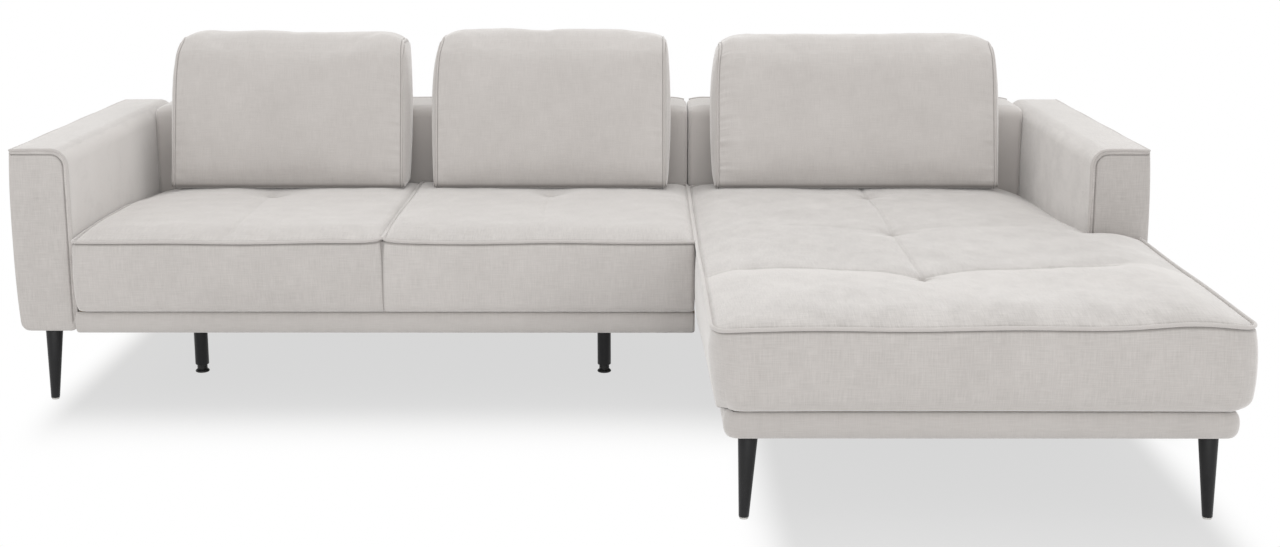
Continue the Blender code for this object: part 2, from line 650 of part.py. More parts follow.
def seat_mover(low, high, radius, edge_distance, dents):
    """The rule for a fixed seat cushion: round corners, swelling boxing and a crowned top.

    edge_distance(x, y) is how far a point lies inside the top seam, and dents(x, y) how deep the
    seams and tufts draw the top down there.
    """
    rectangle = (low[0], high[0], low[1], high[1])

    def move(x, y, z):
        rise = (z - low[2]) / (high[2] - low[2])
        inner_x = min(max(x, low[0] + radius), high[0] - radius)
        inner_y = min(max(y, low[1] + radius), high[1] - radius)
        top = high[2]
        if rise > 1 - MERGE_DISTANCE:
            share = min(1.0, edge_distance(x, y) / SEAT_CROWN_REACH)
            top += SEAT_CROWN * (1 - (1 - share) ** 2) - dents(x, y) * min(1.0, 3 * share)
        x, y = rounded(x, y, rectangle, (radius,) * 4)
        out = Vector((x - inner_x, y - inner_y))
        bulge = SEAT_BULGE * 4 * rise * (1 - rise)
        if out.length > 0:
            x += out.x / out.length * bulge
            y += out.y / out.length * bulge
        return x, y, top if rise > 1 - MERGE_DISTANCE else z

    return move


BOXING_PIECES = 4
BOXING_CUTS = spread(Z_CUSHION_BOTTOM, SEAT_HEIGHT, BOXING_PIECES)
Y_SEAT_TUFT = Y_BACK_CUSHION_FRONT - SEAT_TUFT_MARGIN


def add_seat_cushion(name, left, right):
    """A seat of the sofa section, with one tuft and a fold from it to the front seam."""
    inset = SEAT_BULGE + FIT_GAP
    low = (left + inset, Y_SOFA_FRONT + SEAT_BULGE, Z_CUSHION_BOTTOM)
    high = (right - inset, Y_BACK_FRONT - inset, SEAT_HEIGHT)
    middle = (left + right) / 2

    def edge_distance(x, y):
        return min(x - low[0], high[0] - x, y - low[1], high[1] - y)

    def dents(x, y):
        fold = FOLD_DEPTH * crease(x - middle, FOLD_REACH) if y < Y_SEAT_TUFT else 0.0
        return max(fold, TUFT_DEPTH * crease(math.hypot(x - middle, y - Y_SEAT_TUFT), TUFT_REACH))

    cuts = (
        edge_cuts(low[0], high[0], SEAT_CORNER_RADIUS) + crease_cuts([middle], FOLD_REACH)
        + spread(low[0] + SEAT_CORNER_RADIUS, middle - FOLD_REACH, 4)
        + spread(middle + FOLD_REACH, high[0] - SEAT_CORNER_RADIUS, 4),
        edge_cuts(low[1], high[1], SEAT_CORNER_RADIUS)
        + crease_cuts([Y_SEAT_TUFT], TUFT_REACH)
        + spread(low[1] + SEAT_CORNER_RADIUS, Y_SEAT_TUFT - TUFT_REACH, 4)
        + spread(Y_SEAT_TUFT + TUFT_REACH, high[1] - SEAT_CORNER_RADIUS, 3),
        BOXING_CUTS,
    )
    soft_solid(
        name, low, high, cuts, seat_mover(low, high, SEAT_CORNER_RADIUS, edge_distance, dents), True)


add_seat_cushion("left_seat_cushion", X_LEFT_ARM, X_SEAT_SPLIT)
add_seat_cushion("middle_seat_cushion", X_SEAT_SPLIT, X_SOFA_END)


def add_chaise_cushion():
    """The chaise's cushion: the full width in front of the right arm, and beside the arm behind."""
    inset = SEAT_BULGE + FIT_GAP
    low = (X_CHAISE_START + inset, Y_CHAISE_FRONT + SEAT_BULGE, Z_CUSHION_BOTTOM)
    high = (X_RIGHT - SEAT_BULGE, Y_BACK_FRONT - inset, SEAT_HEIGHT)
    notch_x = X_RIGHT_ARM - FIT_GAP
    notch_y = Y_ARM_FRONT - FIT_GAP
    middle = (X_CHAISE_START + X_RIGHT_ARM) / 2
    rear_tuft = Y_BACK_FRONT - TUFT_TO_BACK
    tufts = [rear_tuft - TUFT_SPACING * i for i in range(CHAISE_TUFTS)]

    def edge_distance(x, y):
        to_notch = math.hypot(max(0.0, notch_x - x), max(0.0, notch_y - y))
        return max(0.0, min(x - low[0], high[0] - x, y - low[1], high[1] - y, to_notch))

    def dents(x, y):
        across = FOLD_DEPTH * max(crease(y - tuft, FOLD_REACH) for tuft in tufts)
        along = FOLD_DEPTH * crease(x - middle, FOLD_REACH) if y > tufts[-1] else 0.0
        pit = TUFT_DEPTH * max(crease(math.hypot(x - middle, y - tuft), TUFT_REACH) for tuft in tufts)
        return max(across, along, pit)

    radius = CHAISE_CORNER_RADIUS
    cuts = (
        edge_cuts(low[0], high[0], radius) + crease_cuts([middle], FOLD_REACH)
        + spread(low[0] + radius, middle - FOLD_REACH, 4)
        + spread(middle + FOLD_REACH, high[0] - radius, 5),
        edge_cuts(low[1], high[1], radius) + crease_cuts(tufts, FOLD_REACH)
        + spread(low[1] + radius, tufts[-1] - FOLD_REACH, 3)
        + [(first + second) / 2 for first, second in zip(tufts, tufts[1:])]
        + spread(rear_tuft + FOLD_REACH, high[1] - radius, 2),
        BOXING_CUTS,
    )
    cushion = soft_solid(
        "chaise_cushion", low, high, cuts, seat_mover(low, high, radius, edge_distance, dents), True)
    notch = add_box(
        "chaise_notch", (notch_x, notch_y, Z_CUSHION_BOTTOM - CUT_OVERRUN),
        (X_RIGHT + CUT_OVERRUN, Y_REAR, Z_SEAT_TOP + CUT_OVERRUN), None, cutters)
    cut(cushion, notch)


add_chaise_cushion()


def add_back_cushion(name, left, right, margins):
    """A loose back cushion that leans on the back: crowned front, gusset sides, soft top corners."""
    low = (left + margins[0], 0.0, 0.0)
    high = (right - margins[1], BACK_CUSHION_THICKNESS, BACK_CUSHION_HEIGHT - BACK_CUSHION_TOP_CROWN)
    top_radius = BACK_CUSHION_TOP_RADIUS
    edge_radius = BACK_CUSHION_EDGE_RADIUS

    def move(x, y, z):
        across = 2 * (x - low[0]) / (high[0] - low[0]) - 1
        up = 2 * z / high[2] - 1
        depth = y / high[1]
        fullness = (1 - abs(across) ** 3) * (1 - abs(up) ** 3)
        radii = (edge_radius, edge_radius, top_radius, top_radius)
        y, z = rounded(y, z, (0.0, high[1], 0.0, high[2]), radii)
        x, z = rounded(x, z, (low[0], high[0], 0.0, high[2]), radii)
        y -= (BACK_CUSHION_CROWN * fullness - BACK_CUSHION_CROWN) * (1 - depth)
        z += BACK_CUSHION_TOP_CROWN * (1 - across ** 2) * max(0.0, up) ** 2
        side = BACK_CUSHION_GUSSET_BULGE * 4 * depth * (1 - depth) * (1 - up ** 2)
        side -= BACK_CUSHION_DRAW_IN * (1 - up ** 2)
        x += side * across
        lean = Y_BACK_CUSHION_FRONT + BACK_CUSHION_SLOPE * z
        return x, y + lean, z + Z_BACK_CUSHION

    cuts = (
        edge_cuts(low[0], high[0], top_radius) + spread(low[0] + top_radius, high[0] - top_radius, 8),
        edge_cuts(0.0, high[1], top_radius),
        edge_cuts(0.0, high[2], top_radius) + spread(top_radius, high[2] - top_radius, 6),
    )
    soft_solid(name, low, high, cuts, move, False)


add_back_cushion("left_back_cushion", X_LEFT_ARM, X_SEAT_SPLIT, LEFT_CUSHION_MARGINS)
add_back_cushion("middle_back_cushion", X_SEAT_SPLIT, X_SOFA_END, MIDDLE_CUSHION_MARGINS)
add_back_cushion("right_back_cushion", X_CHAISE_START, X_RIGHT_ARM, RIGHT_CUSHION_MARGINS)


# Tapered metal legs with a stud that screws into the frame, and a pale glide pressed in below

Z_LEG_TOP = Z_UNDER - FIT_GAP
Z_LEG_BOTTOM = GLIDE_HEIGHT + FIT_GAP
Z_PIN_HOLE_TOP = Z_LEG_BOTTOM + GLIDE_PIN_LENGTH + FIT_GAP


def add_tapered_leg(name, place, side):
    """A leg whose bottom rakes outwards and forwards, and the glide under it."""
    profile = [
        (0.0, Z_STUD_TOP), (STUD_RADIUS, Z_STUD_TOP), (STUD_RADIUS, Z_LEG_TOP),
        (LEG_TOP_RADIUS, Z_LEG_TOP), (LEG_BOTTOM_RADIUS, Z_LEG_BOTTOM),
        (GLIDE_PIN_RADIUS + FIT_GAP, Z_LEG_BOTTOM), (GLIDE_PIN_RADIUS + FIT_GAP, Z_PIN_HOLE_TOP),
        (0.0, Z_PIN_HOLE_TOP),
    ]
    leg = realised(add_turned(name + "_leg", profile, (*place, 0.0), black_metal))
    leg.data.shade_smooth()
    for vertex in leg.data.vertices:
        rake = LEG_RAKE * min(1.0, max(0.0, (Z_LEG_TOP - vertex.co.z) / (Z_LEG_TOP - Z_PIN_HOLE_TOP)))
        vertex.co.x += side * rake
        vertex.co.y -= rake
    glide_radius = LEG_BOTTOM_RADIUS - GLIDE_INSET
    glide = [
        (0.0, Z_LEG_BOTTOM + GLIDE_PIN_LENGTH), (GLIDE_PIN_RADIUS, Z_LEG_BOTTOM + GLIDE_PIN_LENGTH),
        (GLIDE_PIN_RADIUS, GLIDE_HEIGHT), (glide_radius, GLIDE_HEIGHT), (glide_radius - GLIDE_INSET, 0.0),
        (0.0, 0.0),
    ]
    x, y = place
    add_turned(name + "_glide", glide, (x + side * LEG_RAKE, y - LEG_RAKE, 0.0), pale_plastic)


for name, (place, side) in TAPERED_LEGS.items():
    add_tapered_leg(name, place, side)


# Plain straight legs at the rear

for name, place in REAR_LEGS.items():
    profile = [
        (0.0, Z_STUD_TOP), (STUD_RADIUS, Z_STUD_TOP), (STUD_RADIUS, Z_LEG_TOP),
        (PLAIN_LEG_RADIUS, Z_LEG_TOP), (PLAIN_LEG_RADIUS, PLAIN_LEG_CHAMFER),
        (PLAIN_LEG_RADIUS - PLAIN_LEG_CHAMFER, 0.0), (0.0, 0.0),
    ]
    add_turned(name + "_leg", profile, (*place, 0.0), black_plastic)


# Support legs: a straight tube, a stem that screws in and out of it, and a pad that is turned by hand

Z_TUBE_BOTTOM = PAD_HEIGHT + FIT_GAP + NECK_HEIGHT
Z_STEM_BOTTOM = PAD_HEIGHT + FIT_GAP
Z_STEM_TOP = Z_TUBE_BOTTOM + STEM_ENGAGEMENT

for side, place in SUPPORT_LEGS.items():
    tube = [
        (0.0, Z_STUD_TOP), (STUD_RADIUS, Z_STUD_TOP), (STUD_RADIUS, Z_LEG_TOP),
        (PLAIN_LEG_RADIUS, Z_LEG_TOP), (PLAIN_LEG_RADIUS, Z_TUBE_BOTTOM),
        (STEM_RADIUS + SLIDE_GAP, Z_TUBE_BOTTOM), (STEM_RADIUS + SLIDE_GAP, Z_STEM_TOP + FIT_GAP),
        (0.0, Z_STEM_TOP + FIT_GAP),
    ]
    add_turned("support_leg_" + side, tube, (*place, 0.0), black_plastic)
    stem = [
        (0.0, Z_STEM_TOP), (STEM_RADIUS, Z_STEM_TOP), (STEM_RADIUS, Z_STEM_BOTTOM),
        (PAD_PIN_RADIUS, Z_STEM_BOTTOM), (PAD_PIN_RADIUS, PAD_FLOOR + FIT_GAP), (0.0, PAD_FLOOR + FIT_GAP),
    ]
    add_turned("support_stem_" + side, stem, (*place, 0.0), black_plastic)
    pad = [
        (0.0, PAD_FLOOR), (PAD_PIN_RADIUS + SLIDE_GAP, PAD_FLOOR), (PAD_PIN_RADIUS + SLIDE_GAP, PAD_HEIGHT),
        (PAD_TOP_RADIUS, PAD_HEIGHT), (PAD_RADIUS, PAD_HEIGHT / 2), (PAD_FOOT_RADIUS, 0.0), (0.0, 0.0),
    ]
    add_turned("support_pad_" + side, pad, (*place, 0.0), black_plastic)


# The link plate between the two sections, with its screws

link = add_box(
    "link_plate", (X_SOFA_END - RAIL_WIDTH, Y_LINK - LINK_WIDTH / 2, Z_LINK_BOTTOM),
    (CHAISE_INNER_LEFT - FIT_GAP, Y_LINK + LINK_WIDTH / 2, Z_LINK_TOP), zinc_steel)
cut(link, screw_holes)

Z_SCREW_HEAD = Z_LINK_BOTTOM - FIT_GAP
for name, place in LINK_SCREWS.items():
    profile = [
        (0.0, Z_RAIL_BOTTOM + SCREW_DEPTH), (SCREW_RADIUS, Z_RAIL_BOTTOM + SCREW_DEPTH),
        (SCREW_RADIUS, Z_SCREW_HEAD), (SCREW_HEAD_RADIUS, Z_SCREW_HEAD),
        (SCREW_HEAD_RADIUS, Z_SCREW_HEAD - SCREW_HEAD_HEIGHT), (0.0, Z_SCREW_HEAD - SCREW_HEAD_HEIGHT),
    ]
    add_turned("link_screw_" + name, profile, (*place, 0.0), zinc_steel)
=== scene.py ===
"""The looks of a fabric corner sofa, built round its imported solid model.

Metres, +Z up, the front towards -Y.
"""
import math
import re

import bpy
import numpy as np
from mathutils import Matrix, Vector


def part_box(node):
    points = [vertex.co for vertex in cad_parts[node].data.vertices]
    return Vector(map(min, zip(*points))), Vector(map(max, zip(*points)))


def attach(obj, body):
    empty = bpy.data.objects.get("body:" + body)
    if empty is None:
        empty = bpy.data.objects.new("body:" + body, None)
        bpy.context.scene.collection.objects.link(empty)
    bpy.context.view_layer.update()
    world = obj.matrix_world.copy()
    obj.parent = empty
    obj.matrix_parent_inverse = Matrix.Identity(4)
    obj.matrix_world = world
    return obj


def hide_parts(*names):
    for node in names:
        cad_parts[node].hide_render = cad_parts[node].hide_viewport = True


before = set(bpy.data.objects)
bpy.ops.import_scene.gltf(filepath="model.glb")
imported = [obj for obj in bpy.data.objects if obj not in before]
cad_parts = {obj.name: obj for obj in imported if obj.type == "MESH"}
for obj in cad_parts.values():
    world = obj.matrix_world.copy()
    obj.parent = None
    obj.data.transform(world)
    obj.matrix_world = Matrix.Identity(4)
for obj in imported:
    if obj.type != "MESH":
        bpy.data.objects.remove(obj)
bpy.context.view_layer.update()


# Studio: a camera low in front of the sofa, an even white room and a wide soft lamp overhead.
# The floor is white, and keeps the pale grey shadow that the photograph shows under the sofa: its own shadow,
# with painted shadow laid over it.

CAMERA_PLACE = (0.1524, -4.0034, 1.2746)
CAMERA_PITCH = 11.317
CAMERA_YAW = 0.091
CAMERA_LENS = 46.88
CAMERA_SENSOR = 36.0
CAMERA_SHIFT = -0.05
WHITE = (1.0, 1.0, 1.0)
ROOM_TINT = (1.0, 0.995, 0.985)
ROOM_LIGHT = 0.82
LAMPS = (
    ("overhead_lamp", (0.8, 0.6, 4.2), (6.0, 5.0), 55.0),
    ("front_lamp", (0.0, -6.5, 2.0), (6.0, 3.0), 95.0),
)
LAMP_TARGET = (0.0, 0.0, 0.3)
FLOOR_REACH = 45.0
FLOOR_GLOW = 0.67
FLOOR_PAINT = (0.92, 0.92, 0.92)
# FLOOR_SHADOWS place the painted shadow, and FLOOR_SHADOW_PAINT is its grey.
FLOOR_SHADOWS = ((0.06, 0.41, 2.56, 0.93), (0.86, -0.07, 0.80, 1.86))
FLOOR_SHADOW_PAINT = (0.25, 0.25, 0.25)
FLOOR_SHADOW_EDGE = (0.0, 0.45)
FLOOR_SHADOW_SQUEEZE = 3.5


def placed(name, data):
    """A new object in the scene."""
    made = bpy.data.objects.new(name, data)
    bpy.context.scene.collection.objects.link(made)
    return made


lens = bpy.data.cameras.new("studio_camera")
lens.lens = CAMERA_LENS
lens.sensor_width = CAMERA_SENSOR
lens.shift_y = CAMERA_SHIFT
camera = placed("studio_camera", lens)
camera.location = CAMERA_PLACE
camera.rotation_euler = (math.radians(90 - CAMERA_PITCH), 0.0, math.radians(CAMERA_YAW))
bpy.context.scene.camera = camera
bpy.context.scene.view_settings.view_transform = "Standard"

for name, place, size, power in LAMPS:
    lamp_shape = bpy.data.lights.new(name, "AREA")
    lamp_shape.shape = "RECTANGLE"
    lamp_shape.size, lamp_shape.size_y = size
    lamp_shape.energy = power
    lamp = placed(name, lamp_shape)
    lamp.location = place
    lamp.rotation_euler = (Vector(place) - Vector(LAMP_TARGET)).to_track_quat("Z", "Y").to_euler()


class Signal:
    """One output of a node. Arithmetic on signals and numbers adds Math nodes beside it."""

    def __init__(self, finish, socket):
        self.finish = finish
        self.socket = socket

    def pick(self, output):
        """Another output of the same node."""
        return Signal(self.finish, self.socket.node.outputs[output])

    def math(self, operation, *operands):
        return self.finish.node("ShaderNodeMath", {"operation": operation}, dict(enumerate(operands)))

    def __add__(self, other):
        return self.math("ADD", self, other)

    def __radd__(self, other):
        return self.math("ADD", other, self)

    def __sub__(self, other):
        return self.math("SUBTRACT", self, other)

    def __rsub__(self, other):
        return self.math("SUBTRACT", other, self)

    def __mul__(self, other):
        return self.math("MULTIPLY", self, other)

    def __rmul__(self, other):
        return self.math("MULTIPLY", other, self)

    def __pow__(self, other):
        return self.math("POWER", self, other)

    def __rpow__(self, other):
        return self.math("POWER", other, self)

    def sin(self):
        return self.math("SINE", self)

    def abs(self):
        return self.math("ABSOLUTE", self)

    def at_least(self, limit):
        return self.math("MAXIMUM", self, limit)

    def at_most(self, limit):
        return self.math("MINIMUM", self, limit)

    def clamped(self):
        return self.finish.node("ShaderNodeClamp", None, {"Value": self})

    def stretched(self, low, high):
        """0 at low and 1 at high, smooth between them."""
        settings = {"interpolation_type": "SMOOTHSTEP"}
        return self.finish.node(
            "ShaderNodeMapRange", settings, {"Value": self, "From Min": low, "From Max": high})


class Finish:
    """The nodes of the room, or of a new material with the name given. node() adds one: settings
    first, then its sockets, where a colour is given as red, green and blue."""

    def __init__(self, owner):
        self.owner = bpy.data.materials.new(owner) if isinstance(owner, str) else owner
        self.owner.use_nodes = True
        self.tree = self.owner.node_tree
        self.tree.nodes.clear()

    def node(self, kind, settings=None, sockets=None):
        made = self.tree.nodes.new(kind)
        for name, value in (settings or {}).items():
            setattr(made, name, value)
        for name, value in (sockets or {}).items():
            socket = made.inputs[name]
            if isinstance(value, Signal):
                self.tree.links.new(value.socket, socket)
            else:
                socket.default_value = (*value, 1.0) if socket.type == "RGBA" else value
        return Signal(self, made.outputs[0]) if made.outputs else None

    def place(self):
        """Where a point lies, in metres."""
        return self.node("ShaderNodeTexCoord").pick("Object")

    def axes(self, vector):
        """The three numbers of a vector."""
        first = self.node("ShaderNodeSeparateXYZ", None, {"Vector": vector})
        return first, first.pick("Y"), first.pick("Z")

    def scaled(self, vector, scales):
        """The vector times a scale for each of its axes."""
        return self.node("ShaderNodeVectorMath", {"operation": "MULTIPLY"}, {0: vector, 1: scales})

    def noise(self, vector, scale, detail=2.0, roughness=0.5):
        """A cloudy signal round 0.5, with features about 1 / scale across."""
        sockets = {"Vector": vector, "Scale": scale, "Detail": detail, "Roughness": roughness}
        return self.node("ShaderNodeTexNoise", None, sockets)

    def blend(self, share, first, second):
        """The first colour where share is 0 and the second where it is 1."""
        return self.node("ShaderNodeMix", {"data_type": "RGBA"}, {0: share, 6: first, 7: second}).pick(2)

    def shader(self, kind, *values):
        """A shader node and the values of its first sockets."""
        return self.node("ShaderNode" + kind, None, dict(enumerate(values)))

    def surface(self, sockets, bump=None, depth=0.001, strength=1.0):
        """A Principled surface to these sockets, with an optional bump of the given depth."""
        if bump is not None:
            relief = {"Height": bump, "Distance": depth, "Strength": strength}
            sockets = dict(sockets, Normal=self.node("ShaderNodeBump", None, relief))
        return self.output(self.node("ShaderNodeBsdfPrincipled", None, sockets))

    def output(self, shader):
        world = isinstance(self.owner, bpy.types.World)
        self.node("ShaderNodeOutputWorld" if world else "ShaderNodeOutputMaterial", None, {"Surface": shader})
        return self.owner


def seen_directly(finish):
    """1 for rays from the camera and for those that a gloss or a glass sends on, and 0 for the light's."""
    path = finish.node("ShaderNodeLightPath")
    camera_ray, glossy, through = [
        path.pick("Is " + kind + " Ray") for kind in ("Camera", "Glossy", "Transmission")]
    return (camera_ray + glossy + through).clamped()


room = Finish(bpy.context.scene.world or bpy.data.worlds.new("studio_room"))
bpy.context.scene.world = room.owner
room.output(room.shader(
    "MixShader", seen_directly(room), room.shader("Background", ROOM_TINT, ROOM_LIGHT),
    room.shader("Background", WHITE, 1.0)))


def white_floor():
    """White paint that glows a little to the camera, and wholly away from the sofa, where the camera
    sees grey paint, a painted shadow over the floor's own, in the soft rectangles of FLOOR_SHADOWS:
    middle x and y, width and depth. Their edges are squeezed in x. The floor is clear from below."""
    paint = Finish("white_floor")
    x, y, _ = paint.axes(paint.place())
    away = None
    for middle_x, middle_y, wide, deep in FLOOR_SHADOWS:
        past_x = ((x - middle_x).abs() - wide / 2).at_least(0) * FLOOR_SHADOW_SQUEEZE
        past_y = ((y - middle_y).abs() - deep / 2).at_least(0)
        gap = (past_x * past_x + past_y * past_y) ** 0.5
        away = gap if away is None else away.at_most(gap)
    seen, lit_share = seen_directly(paint), away.stretched(*FLOOR_SHADOW_EDGE)
    plain, grey = paint.shader("BsdfDiffuse", FLOOR_PAINT), paint.shader("BsdfDiffuse", FLOOR_SHADOW_PAINT)
    matt = paint.shader("MixShader", (1 - lit_share) * seen, plain, grey)
    glow = (lit_share * (1 - FLOOR_GLOW) + FLOOR_GLOW) * seen
    lit = paint.shader("MixShader", glow, matt, paint.shader("Emission", WHITE, 1.0))
    below = paint.node("ShaderNodeNewGeometry").pick("Backfacing")
    return paint.output(paint.shader("MixShader", below, lit, paint.shader("BsdfTransparent")))


floor_mesh = bpy.data.meshes.new("studio_floor")
floor_corners = [(x * FLOOR_REACH, y * FLOOR_REACH, 0.0) for x, y in ((-1, -1), (1, -1), (1, 1), (-1, 1))]
floor_mesh.from_pydata(floor_corners, [], [(0, 1, 2, 3)])
floor_mesh.materials.append(white_floor())
placed("studio_floor", floor_mesh)


# Seat platforms: planed softwood rails with zigzag springs stapled on top, and thin black dust
# cloth stretched under them. The arms and backs have boxes of the same timber inside.

def planed_timber():
    """Pale softwood: growth rings drawn out along the board, with a fine fibre over them."""
    wood = Finish("planed_timber")
    place = wood.place()
    rings = wood.noise(wood.scaled(place, (9.0, 9.0, 60.0)), 1.0, 4.0)
    bands = (rings * 34).sin() * 0.5 + 0.5
    fibre = wood.noise(wood.scaled(place, (60.0, 60.0, 700.0)), 1.0, 2.0)
    colour = wood.blend(bands * 0.6 + fibre * 0.4, (0.52, 0.36, 0.20), (0.72, 0.55, 0.35))
    rough = fibre * 0.2 + 0.55
    return wood.surface({"Base Color": colour, "Roughness": rough}, bands * 0.3 + fibre, 0.0004)


def pressed_dust_cloth():
    """Black spun cloth, pressed with rows of small dots."""
    cloth = Finish("pressed_dust_cloth")
    place = cloth.place()
    x, y, _ = cloth.axes(cloth.scaled(place, (1800.0, 1800.0, 1800.0)))
    dots = (x.sin() * y.sin()).stretched(0.3, 0.8)
    fluff = cloth.noise(place, 90.0, 4.0)
    colour = cloth.blend(fluff, (0.012, 0.012, 0.012), (0.035, 0.035, 0.034))
    return cloth.surface({"Base Color": colour, "Roughness": 0.9 - dots * 0.2}, fluff - dots * 0.6, 0.0004)


def drawn_steel(name, colour, roughness):
    """Plain steel: fine draw marks in the shine, and a slight tarnish."""
    steel = Finish(name)
    place = steel.place()
    marks = steel.noise(place, 700.0, 2.0)
    tarnish = steel.noise(place, 40.0, 3.0)
    shade = steel.blend(tarnish, tuple(channel * 0.72 for channel in colour), colour)
    sockets = {"Base Color": shade, "Metallic": 1.0, "Roughness": marks * 0.18 + roughness}
    return steel.surface(sockets, marks, 0.0001)


def refinish(pattern, material):
    """Gives the CAD nodes whose names fit the pattern, and whose shape is kept, a better material."""
    for name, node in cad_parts.items():
        if re.search(pattern, name):
            for slot in node.material_slots:
                slot.material = material


refinish("(_rail|_frame)$|_cross_rail_", planed_timber())
refinish("_dust_cover$", pressed_dust_cloth())
refinish("_spring_", drawn_steel("spring_steel", (0.42, 0.41, 0.40), 0.32))


# Arms: a timber box padded with foam and covered in a woven cloth with a short pile. The front panel
# is sewn in with a thin welt that runs over the top and down the inner edge, and a second welt runs
# along the outer top edge to the back.

CLOTH_DARK = (0.380, 0.3576, 0.3428)
CLOTH_LIGHT = (0.590, 0.562, 0.543)
# The last colour is painted shade, which the seam mark lays into creases, grooves and contacts.
CLOTH_CREASE_SHADE = (0.200, 0.186, 0.176)
CLOTH_RELIEF = 0.0011


def woven_cloth():
    """Warm light grey chenille. Two crossed noises, each drawn out along one thread direction, make
    slubs in the weave, a finer pair of sines its threads, and slow noises the brushed clouds of the pile.

    Three marks on the mesh change it: the first is painted light and shade that lightens or darkens it, crush
    is how much the pile is crushed into blotches, and seam is painted shade in creases, grooves and contacts."""
    cloth = Finish("woven_cloth")
    place = cloth.place()
    flat = cloth.node("ShaderNodeUVMap", {"uv_map": "cloth"})
    nap, crush, seam = [
        cloth.node("ShaderNodeAttribute", {"attribute_name": mark}).pick("Fac")
        for mark in ("nap", "crush", "seam")]
    weft = cloth.noise(cloth.scaled(flat, (24.0, 480.0, 1.0)), 1.0, 3.0, 0.6)
    warp = cloth.noise(cloth.scaled(flat, (480.0, 24.0, 1.0)), 1.0, 3.0, 0.6)
    slubs = (weft + warp) * 0.5
    x, y, _ = cloth.axes(cloth.scaled(flat, (4200.0, 4200.0, 1.0)))
    threads = x.sin() * y.sin() * 0.5 + 0.5
    cloud = cloth.noise(place, 5.0, 3.0, 0.55)
    brushed = cloth.noise(cloth.scaled(place, (1.0, 1.0, 0.6)), 34.0, 3.0, 0.6)
    streaks = cloth.noise(cloth.scaled(place, (1.0, 0.5, 0.7)), 26.0, 5.0, 0.68)
    patches = cloth.noise(cloth.scaled(place, (1.0, 1.0, 0.6)), 9.0, 3.0, 0.55)
    blotches = (streaks * 0.55 + patches * 0.45 - 0.5) * crush * 4.2
    contrast = (crush * 7.0 + 1.3).at_most(3.6)
    pile = (cloud * 0.6 + brushed * 0.4 - 0.5) * 0.8
    # The tone takes in the painted light and shade, and the seam mark then blends in painted shade.
    tone = (((slubs - 0.5) * contrast + pile + blotches + nap + 0.9) * (1 / 1.4)).clamped()
    colour = cloth.blend(seam, cloth.blend(tone, CLOTH_DARK, CLOTH_LIGHT), CLOTH_CREASE_SHADE)
    relief = slubs * 0.7 + threads * 0.12 + brushed * 0.2
    sockets = {
        "Base Color": colour, "Roughness": 0.90 - pile * 0.10, "Specular IOR Level": 0.25,
        "Sheen Weight": 1.0, "Sheen Roughness": 0.5, "Sheen Tint": (1.0, 0.985, 0.97),
    }
    return cloth.surface(sockets, relief, CLOTH_RELIEF, 0.55)


upholstery = woven_cloth()


def grid_lines(*parts):
    """Lines along one axis: parts is place, step, place, step and so on, and each stretch is split evenly."""
    places, steps = parts[0::2], parts[1::2]
    rows = [
        np.linspace(a, b, max(1, round(abs(b - a) / step)), endpoint=False)
        for a, b, step in zip(places, places[1:], steps)]
    return np.append(np.concatenate(rows), places[-1])


def block_skin(xs, ys, zs, filled=None):
    """The outer quads of a block of cells between three rows of lines.

    A quad stands wherever a filled cell has an empty neighbour. Returns the points, the quads and,
    for each corner of a quad, its flat place on the cloth: the two axes that the quad lies along.
    """
    lines = (xs, ys, zs)
    counts = [len(row) for row in lines]
    cells = np.ones([count - 1 for count in counts], bool) if filled is None else filled
    solid = np.pad(cells, 1).astype(int)
    quads, flats = [], []
    for axis in range(3):
        b, c = (axis + 1) % 3, (axis + 2) % 3
        change = np.diff(solid, axis=axis)
        for sense in (1, -1):
            found = np.argwhere(change == sense)
            found[:, b] -= 1
            found[:, c] -= 1
            ring = [(0, 0), (1, 0), (1, 1), (0, 1)]
            if sense == 1:
                ring.reverse()
            corners = np.repeat(found[:, None, :], 4, axis=1)
            corners[:, :, b] += np.array([step[0] for step in ring])
            corners[:, :, c] += np.array([step[1] for step in ring])
            quads.append((corners[..., 0] * counts[1] + corners[..., 1]) * counts[2] + corners[..., 2])
            run, rise = (b, c) if axis != 1 else (c, b)
            flats.append(np.stack([lines[run][corners[..., run]], lines[rise][corners[..., rise]]], axis=-1))
    used, quads = np.unique(np.concatenate(quads), return_inverse=True)
    i, rest = np.divmod(used, counts[1] * counts[2])
    j, k = np.divmod(rest, counts[2])
    return np.stack([xs[i], ys[j], zs[k]], axis=1), quads.reshape(-1, 4), np.concatenate(flats)


def near(distance, reach):
    """1 at an edge and 0 from reach on, in a straight line."""
    return np.clip(1 - distance / reach, 0, 1)


def round_corner(a, b, corner, sense, radius):
    """Presses the square of side radius at a corner of a rectangle into a quarter disc.

    With p and q from 0 to 1 towards the corner, p becomes p * sqrt(1 - q**2 / 2) and q likewise, so
    that the two edges of the square become an arc. sense says which way the corner points on each axis.
    """
    p = np.clip((a - corner[0]) * sense[0] / radius + 1, 0, 1)
    q = np.clip((b - corner[1]) * sense[1] / radius + 1, 0, 1)
    a = a + sense[0] * radius * p * (np.sqrt(1 - q * q / 2) - 1)
    b = b + sense[1] * radius * q * (np.sqrt(1 - p * p / 2) - 1)
    return a, b


def round_section(a, b, low, high, radii):
    """Rounds the corners of the rectangle between two corners low and high. radii are for the corner at
    low, the next one along a, the next one along b, and the one at high, which may be left out."""
    for i, radius in enumerate(radii):
        ends = (i % 2, i // 2)
        corner = [(low, high)[end][axis] for axis, end in enumerate(ends)]
        a, b = round_corner(a, b, corner, [2 * end - 1 for end in ends], radius)
    return a, b


